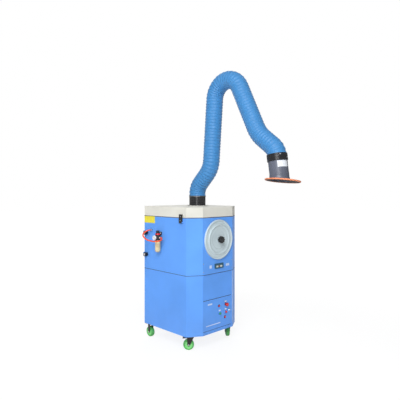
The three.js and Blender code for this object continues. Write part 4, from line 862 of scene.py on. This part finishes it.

# painted shade: dark strips in the bar between the two front panels and under the lower one, for the shadow in the
# gaps
panelLow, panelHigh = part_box("front_cover")
for name, height, level in (("panel_gap_shade", 4.6, panelLow.z - 0.0025),
                            ("door_gap_shade", 3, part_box("control_door")[0].z - 0.0018)):
    strip = plate(name, ((panelHigh.x - panelLow.x) * 1000, height), 0.8, 1, "front",
                  ((panelLow.x + panelHigh.x) / 2, frontY + 0.0004, level))
    dress(strip, "cabinet", "black_plastic", finish="paintedGapShade")

# painted highlight: a pale strip along the right-hand corner of the lower shell's front, where its bend catches
# the light
foldHighlight = {"size": (4.5, 500), "inset": 0.0045, "level": 0.430}
edge = plate("fold_highlight", foldHighlight["size"], 0.4, 1, "front",
             (rightX - cabinet["cornerWidth"] - foldHighlight["inset"], frontY - hair,
              foldHighlight["level"]))
dress(edge, "cabinet", "cabinet_blue", finish="paintedFoldHighlight")

# toggle latches: a pressed lever, and two rivets on its outer face
rivet = {"drops": (0.24, 0.70), "near": 0.012}
for node, side, outermost in (("latch_left", "left", min), ("latch_right", "right", max)):
    low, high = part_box(node)
    lever = cadCopy(node, 1.2, 3)
    dress(lever, node, "black_metal", node)
    rivets = []
    for drop in rivet["drops"]:
        level = high.z - (high.z - low.z) * drop
        face = outermost(corner.co.x for corner in lever.data.vertices
                         if abs(corner.co.z - level) < rivet["near"])
        rivets.append(spun("rivet", [
            (0, 1.6), (2.4, 1.4), (4.2, 0.6), (4.8, -0.4), (0, -0.6)], 24, side,
            (face, centreOf(node).y, level)))
    dress(smooth(joined(node + "_rivets", *rivets)), node, "bare_steel")

# pale steel caps on the round bosses of the rear hinges
boss = {"height": 0.036, "setback": 0.042}
for node in ("rear_hinge_lower", "rear_hinge_upper"):
    cap = spun(node + "_cap", [
        (0, -0.4), (12.6, -0.4), (13, 0.3), (12.2, 1.3), (9.6, 0.9), (0, 1.1)], 48, "left",
        (leftX - boss["height"], backY - boss["setback"], centreOf(node).z))
    dress(smooth(cap), "cabinet", "bare_steel")

# front fittings

screwHeads = []
for x, z in ((-0.198, 0.790), (-0.198, 0.715), (0.196, 0.790), (0.196, 0.715)):
    screwHeads.append(spun("screw_head", [
        (0, 1.2), (0.7, 1.2), (1.2, 2.2), (2.8, 2), (4.2, 1.2), (4.8, 0.4), (4.8, -0.4),
        (0, -0.4)], 24, "front", (middle.x + x, frontY, z)))
dress(smooth(joined("front_screws", *screwHeads)), "cabinet", "bare_steel")

# windows of the display: place across it, width and finish
display = {"glass": 0.0021, "drop": 0.004, "height": 16}
windows = {
    "display_window_left": (-0.026, 26, "windowPale"),
    "display_window_middle": (0.0, 16, "windowBrown"),
    "display_window_right": (0.026, 26, "windowPale"),
}
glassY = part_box("display_panel")[0].y + display["glass"]
centre = centreOf("display_panel")
for name, (x, width, finish) in windows.items():
    window = plate(name, (width, display["height"]), 1.2, 2, "front",
                   (centre.x + x, glassY, centre.z - display["drop"]))
    dress(softenEdges(window, 0.3), "cabinet", "display_teal", finish=finish)

# bare plates where the real one carries marks: place, size and body
plates = {
    "mark_plate_left": ((-0.103, 0.753), (28, 28), "cabinet"),
    "mark_plate_right": ((0.132, 0.750), (46, 22), "cabinet"),
    "panel_plate": ((-0.111, 0.407), (58, 14), "control_door"),
    "panel_stripe": ((-0.066, 0.212), (194, 8.5), "control_door"),
}
for name, ((x, z), size, body) in plates.items():
    label = plate(name, size, 0.4, 1.5, "front", (middle.x + x, frontY - hair, z))
    dress(label, body, "gauge_white", finish="labelPale")
sideLabel = plate("side_label", (166, 66), 0.4, 2, "left",
                  (leftX + hair, middle.y + 0.266, 1.1765))
dress(sideLabel, "cabinet", "gauge_white", finish="labelYellow")

# buttons and lamps: each kind is the profile of its head and the hole of its bezel
kinds = {
    "lamp": ([(0, -3), (8.8, -3), (8.8, 0.3), (9.8, 0.3), (10, 3), (9.4, 5.2), (7, 6.6),
              (3.5, 7.2), (0, 7.3)], 10.2),
    "button": ([(0, -3), (8.8, -3), (8.8, 5), (11.6, 5), (11.8, 9), (11.4, 11.8), (10, 13.2),
                (7.5, 12.8), (0, 12.4)], 12.1),
    "mushroom": ([(0, -3), (10.5, -3), (10.5, 18.5), (11.8, 19), (16, 19.5), (17.8, 20.6),
                  (18.2, 22.8), (17.8, 25.8), (16, 27.9), (11, 28.8), (0, 29)], 12.1),
}
controls = {"power_lamp": ("lens_red", "lamp"), "alarm_lamp": ("lens_red", "lamp"),
            "start_button": ("cap_green", "button"), "stop_button": ("lens_red", "button"),
            "emergency_stop": ("lens_red", "mushroom")}
for node, (slot, kind) in controls.items():
    face, inner = kinds[kind]
    stem = face[1][0]
    top = (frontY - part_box(node)[0].y) * 1000 - 0.1
    scale = min(1.0, top / face[-1][1])  # no further out than its solid
    place = centreOf(node)
    place.y = frontY
    cap = spun(node + "_cap", [(r, h * scale if h > 0 else h) for r, h in face], 48, "front",
               place)
    dress(smooth(cap), bodyOf[node], slot, node)
    block = spun(node + "_block", [
        (0, -34), (stem, -34), (stem, -3.2), (0, -3.2)], 32, "front", place)
    dress(smooth(block), bodyOf[node], "black_plastic")
    ring = spun(node + "_bezel", [
        (inner, 0.2), (inner + 3.2, 0.2), (inner + 3.4, 1.2), (inner + 2.6, 2.8),
        (inner + 0.8, 3.3), (inner, 2.8)], 48, "front", place, closed=True)
    dress(smooth(ring), "control_door", "black_plastic")
    if kind != "lamp":
        legend = plate(node + "_legend", (24, 13), 1.2, 3, "front",
                       (place.x, frontY - hair, place.z + 0.0275))
        dress(softenEdges(legend, 0.3), "control_door", "gauge_white", finish="labelWhite")

low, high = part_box("door_lock")
keyHole = plate("lock_slot", (1.6, 9), 0.4, 0.6, "front",
                ((low.x + high.x) / 2, low.y - hair, high.z - 0.010))
dress(keyHole, "lock", "black_plastic")
print("controls made")

# regulator: its parts stand on the axis of the bowl or on the crossing of the ports

bowlLow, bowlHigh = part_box("regulator_bowl")
regulatorX, regulatorY = centreOf("regulator_bowl").xy
ports = (regulatorX, regulatorY, regulatorZ)
bowl = spun("bowl", [
    (0, 0), (7, 0), (8, 1.5), (13, 2.2), (19, 3.6), (23.6, 7.8), (26, 13.5), (26.6, 20),
    (26.6, 93), (27.5, 94.2), (27.5, 114), (26.8, 115), (0, 115)], 64, "up",
    (regulatorX, regulatorY, bowlLow.z))
dress(smooth(bowl), "cabinet", "bowl_amber", "regulator_bowl")

# ribs on the adjusting knob: every other pair of rows is drawn in
adjuster = {"ribs": 24, "ribbed": 0.0168, "grooves": 0.955}
rows = adjuster["ribs"] * 4
adjusterKnob = spun("adjuster_knob", [
    (0, 0), (16.5, 0), (17.3, 0.8), (17.3, 7.5), (15.7, 8.5), (15.7, 10.5), (17.3, 11.5),
    (17.3, 21.5), (16.5, 23.5), (14.2, 25.2), (0, 25.6)], rows, "up",
    (regulatorX, regulatorY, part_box("regulator_knob")[0].z))
for corner in adjusterKnob.data.vertices:
    offset = Vector((corner.co.x - regulatorX, corner.co.y - regulatorY))
    if offset.length > adjuster["ribbed"]:
        row = round(math.atan2(offset.y, offset.x) / (2 * math.pi) * rows)
        share = adjuster["grooves"] if row % 4 in (0, 1) else 1.0
        corner.co.x = regulatorX + offset.x * share
        corner.co.y = regulatorY + offset.y * share
dress(smooth(adjusterKnob), "adjuster", "black_plastic", "regulator_knob")

lockRing = spun("lock_ring", [
    (21.2, 26.2), (23.2, 26.2), (24, 27.2), (24, 34.5), (23.2, 37.2), (22.2, 40.2), (21.2, 40.2)],
    48, "up", ports, closed=True)
dress(smooth(lockRing), "cabinet", "lens_red")

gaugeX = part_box("pressure_gauge")[1].x + 0.0003
gauge = spun("gauge_case", [
    (0, 0.3), (8.8, 0.3), (8.8, 8), (21, 8.2), (21.9, 9.2), (21.9, 20), (21.2, 21.6),
    (19.6, 21.9), (19, 20.6), (0, 20.4)], 64, "left", (gaugeX, regulatorY, regulatorZ))
dress(smooth(gauge), "cabinet", "gauge_white", "pressure_gauge")
needle = plate("gauge_needle", (1.4, 15), 0.6, 0.5, "left",
               (gaugeX - 0.0204, regulatorY + 0.002, regulatorZ + 0.0035))
dress(needle, "cabinet", "black_plastic")

# plated fitting on the outlet, and the white plug behind
nut = spun("outlet_nut", [
    (9.2, 28.5), (10.8, 28.5), (11.8, 29.5), (11.8, 37.5), (10.8, 38.5), (9.2, 38.5)], 6, "front",
    ports, closed=True)
collet = spun("outlet_collet", [
    (9.2, 38), (10.4, 38), (10.4, 44), (9.6, 45), (6.8, 45), (6.8, 44.2), (9.2, 44.1)], 48,
    "front", ports, closed=True)
outlet = joined("outlet_fitting", nut, collet)
dress(softenEdges(outlet, 0.4), "cabinet", "brass")
screwHeads = []
for rise in (0.0345, 0.0455):
    screwHeads.append(spun("bracket_screw", [
        (0, 1.8), (1.2, 1.8), (1.6, 2.8), (3.4, 2.4), (4.6, 0.6), (0, 0)], 24, "left",
        (leftX - 0.0033, regulatorY, regulatorZ + rise)))
dress(smooth(joined("bracket_screws", *screwHeads)), "cabinet", "brass")
plug = spun("rear_plug", [
    (0, 26.2), (11, 26.2), (11.6, 27), (11.6, 42), (10.8, 43.2), (0, 43.6)], 32, "back", ports)
dress(smooth(plug), "cabinet", "gauge_white")
bowlRing = spun("bowl_ring", [
    (27.6, 0), (29, 0), (29.3, 1), (29.3, 9), (29, 10), (27.6, 10)], 64, "up",
    (regulatorX, regulatorY, bowlHigh.z - 0.0125), closed=True)
dress(smooth(bowlRing), "cabinet", "black_alloy")

# fitting where the air hose enters the wall, and the cable gland
fitPlace = centreOf("bulkhead_fitting")
fitPlace.x = leftX
hexNut = spun("fitting_nut", [
    (0, 0.3), (10.8, 0.3), (11.5, 1), (11.5, 10), (10.5, 11), (0, 11)], 6, "left", fitPlace)
barrel = spun("fitting_barrel", [
    (0, 10.8), (8.8, 10.8), (8.8, 19), (7.8, 20.2), (7.2, 23.6), (0, 23.9)], 32, "left", fitPlace)
fitting = joined("wall_fitting", hexNut, barrel)
dress(softenEdges(fitting, 0.4), "cabinet", "brass", "bulkhead_fitting")
glandPlace = centreOf("cable_gland")
glandPlace.y = backY
gland = spun("gland", [
    (6.6, 0.3), (18, 0.3), (18.2, 10), (15, 10.2), (14.6, 13), (13, 15), (12.6, 20), (10.4, 30),
    (6.6, 30)], 12, "back", glandPlace, closed=True)
dress(softenEdges(gland, 0.6), "cabinet", "black_plastic", "cable_gland")
print("regulator made")

# casters

axles = {joint["child"]: Vector(joint["axis"]) for joint in frame["joints"]
         if joint["name"].startswith("wheel_")}
corners = ("front_left", "front_right", "rear_left", "rear_right")
forks = {"front_left": "fork_left", "front_right": "fork_right"}


def mirrored(half):
    return half + [(r, -z) for r, z in reversed(half)]


def onAxle(piece, corner, way=1):
    # from the upright axis to the wheel's own
    axis = axles["wheel_" + corner] * way
    turn = Vector((0, 0, 1)).rotation_difference(axis).to_matrix().to_4x4()
    return moved(piece, Matrix.Translation(centreOf("caster_wheel_" + corner)) @ turn)


tread = mirrored([(35.2, -13), (37, -15.2), (42, -15.9), (45, -15.4), (48.2, -13.2), (49.7, -9),
                  (50, -4)])
core = mirrored([(6.6, -17), (15, -17), (16, -16), (16.2, -10), (20, -8.5), (29, -8.5),
                 (32, -12), (35.4, -13.5)])
for corner in corners:
    node, body = "caster_wheel_" + corner, "wheel_" + corner
    tyre = smooth(spun(node + "_tyre", tread, 96, closed=True), 50)
    hub = smooth(spun(node + "_core", core, 64, closed=True))
    dress(onAxle(tyre, corner), body, "green_tyre", node)
    dress(onAxle(hub, corner), body, "green_tyre", finish="greenCore")

# zinc nuts on the ends of the axles
for corner in corners:
    nuts = []
    for way in (-1, 1):
        nut = spun("axle_nut", [
            (0, 21.9), (8.8, 21.9), (9.4, 23.3), (9.4, 26.5), (8.6, 27.5), (0, 27.5)], 6)
        nuts.append(onAxle(nut, corner, way))
    nuts = softenEdges(joined("caster_wheel_" + corner + "_nuts", *nuts), 0.3, 1)
    dress(nuts, forks.get(corner, "cabinet"), "bare_steel")
print("casters made")

# floor, sky and lamps: the view itself sees an even pale ground

white = (1, 1, 1, 1)


def seenBy(tree, ray):
    # one for the camera's own rays and for those of one more kind
    paths = tree.nodes.new("ShaderNodeLightPath")
    return made(tree, "Math", {0: paths.outputs["Is Camera Ray"], 1: paths.outputs[ray]},
                operation="MAXIMUM")


clearSelection()
bpy.ops.mesh.primitive_plane_add(size=60)
floor = named("studio_floor")
floorFinish, tree, shader, place = newFinish("studioFloor", 0.9)
fill(tree, shader, {"Base Color": ramp(tree, noise(tree, place, 0.3), [(0.0, 0.90),
                                                                       (1.0, 0.94)])})
reach = made(tree, "VectorMath", {0: place.outputs["Object"]}, "Value", operation="LENGTH")
share = math2(tree, "MULTIPLY", seenBy(tree, "Is Glossy Ray"),
              spread(tree, reach, 0.82, 1.0, 1.6, 5.0))
glow = made(tree, "Emission", {"Color": white, "Strength": 1.06})
fill(tree, tree.nodes["Material Output"],
     {"Surface": made(tree, "MixShader", {0: share, 1: shader.outputs[0], 2: glow})})
floor.data.materials.append(floorFinish)

world = bpy.data.worlds.new("studioSky")
world.use_nodes = True
tree = world.node_tree
toRight = made(tree, "VectorMath", {0: made(tree, "NewGeometry", {}, "Position"),
                                    1: (0.94, 0.34, 0.0)}, "Value", operation="DOT_PRODUCT")
sky = tree.nodes["Background"]
fill(tree, sky, {"Color": white, "Strength": spread(tree, toRight, 0.42, 0.12, -0.2, 0.8)})
backdrop = made(tree, "Background", {"Color": white, "Strength": 1.0})
fill(tree, tree.nodes["World Output"],
     {"Surface": made(tree, "MixShader", {0: seenBy(tree, "Is Transmission Ray"),
                                          1: sky.outputs[0], 2: backdrop})})
bpy.context.scene.world = world

lampTarget = Vector((0.0, 0.0, 1.1))
# place from the cabinet's middle, watts, width and height
lamps = {
    "key_lamp": ((-3.6, -2.9, 4.2), 228, 2.8, 2.8),
    "back_lamp": ((2.8, 2.6, 3.9), 70, 2.6, 2.6),
    "strip_lamp": ((-3.3, -2.6, 1.5), 16, 0.8, 1.4),
}
for name, (place, power, width, height) in lamps.items():
    data = bpy.data.lights.new(name, "AREA")
    data.shape = "RECTANGLE"
    data.energy = power
    data.size = width
    data.size_y = height
    lamp = bpy.data.objects.new(name, data)
    lamp.location = middle + Vector(place)
    lamp.rotation_euler = (lampTarget - Vector(place)).to_track_quat("-Z", "Y").to_euler()
    bpy.context.collection.objects.link(lamp)
bpy.context.scene.view_settings.view_transform = "Standard"

print("scene complete")
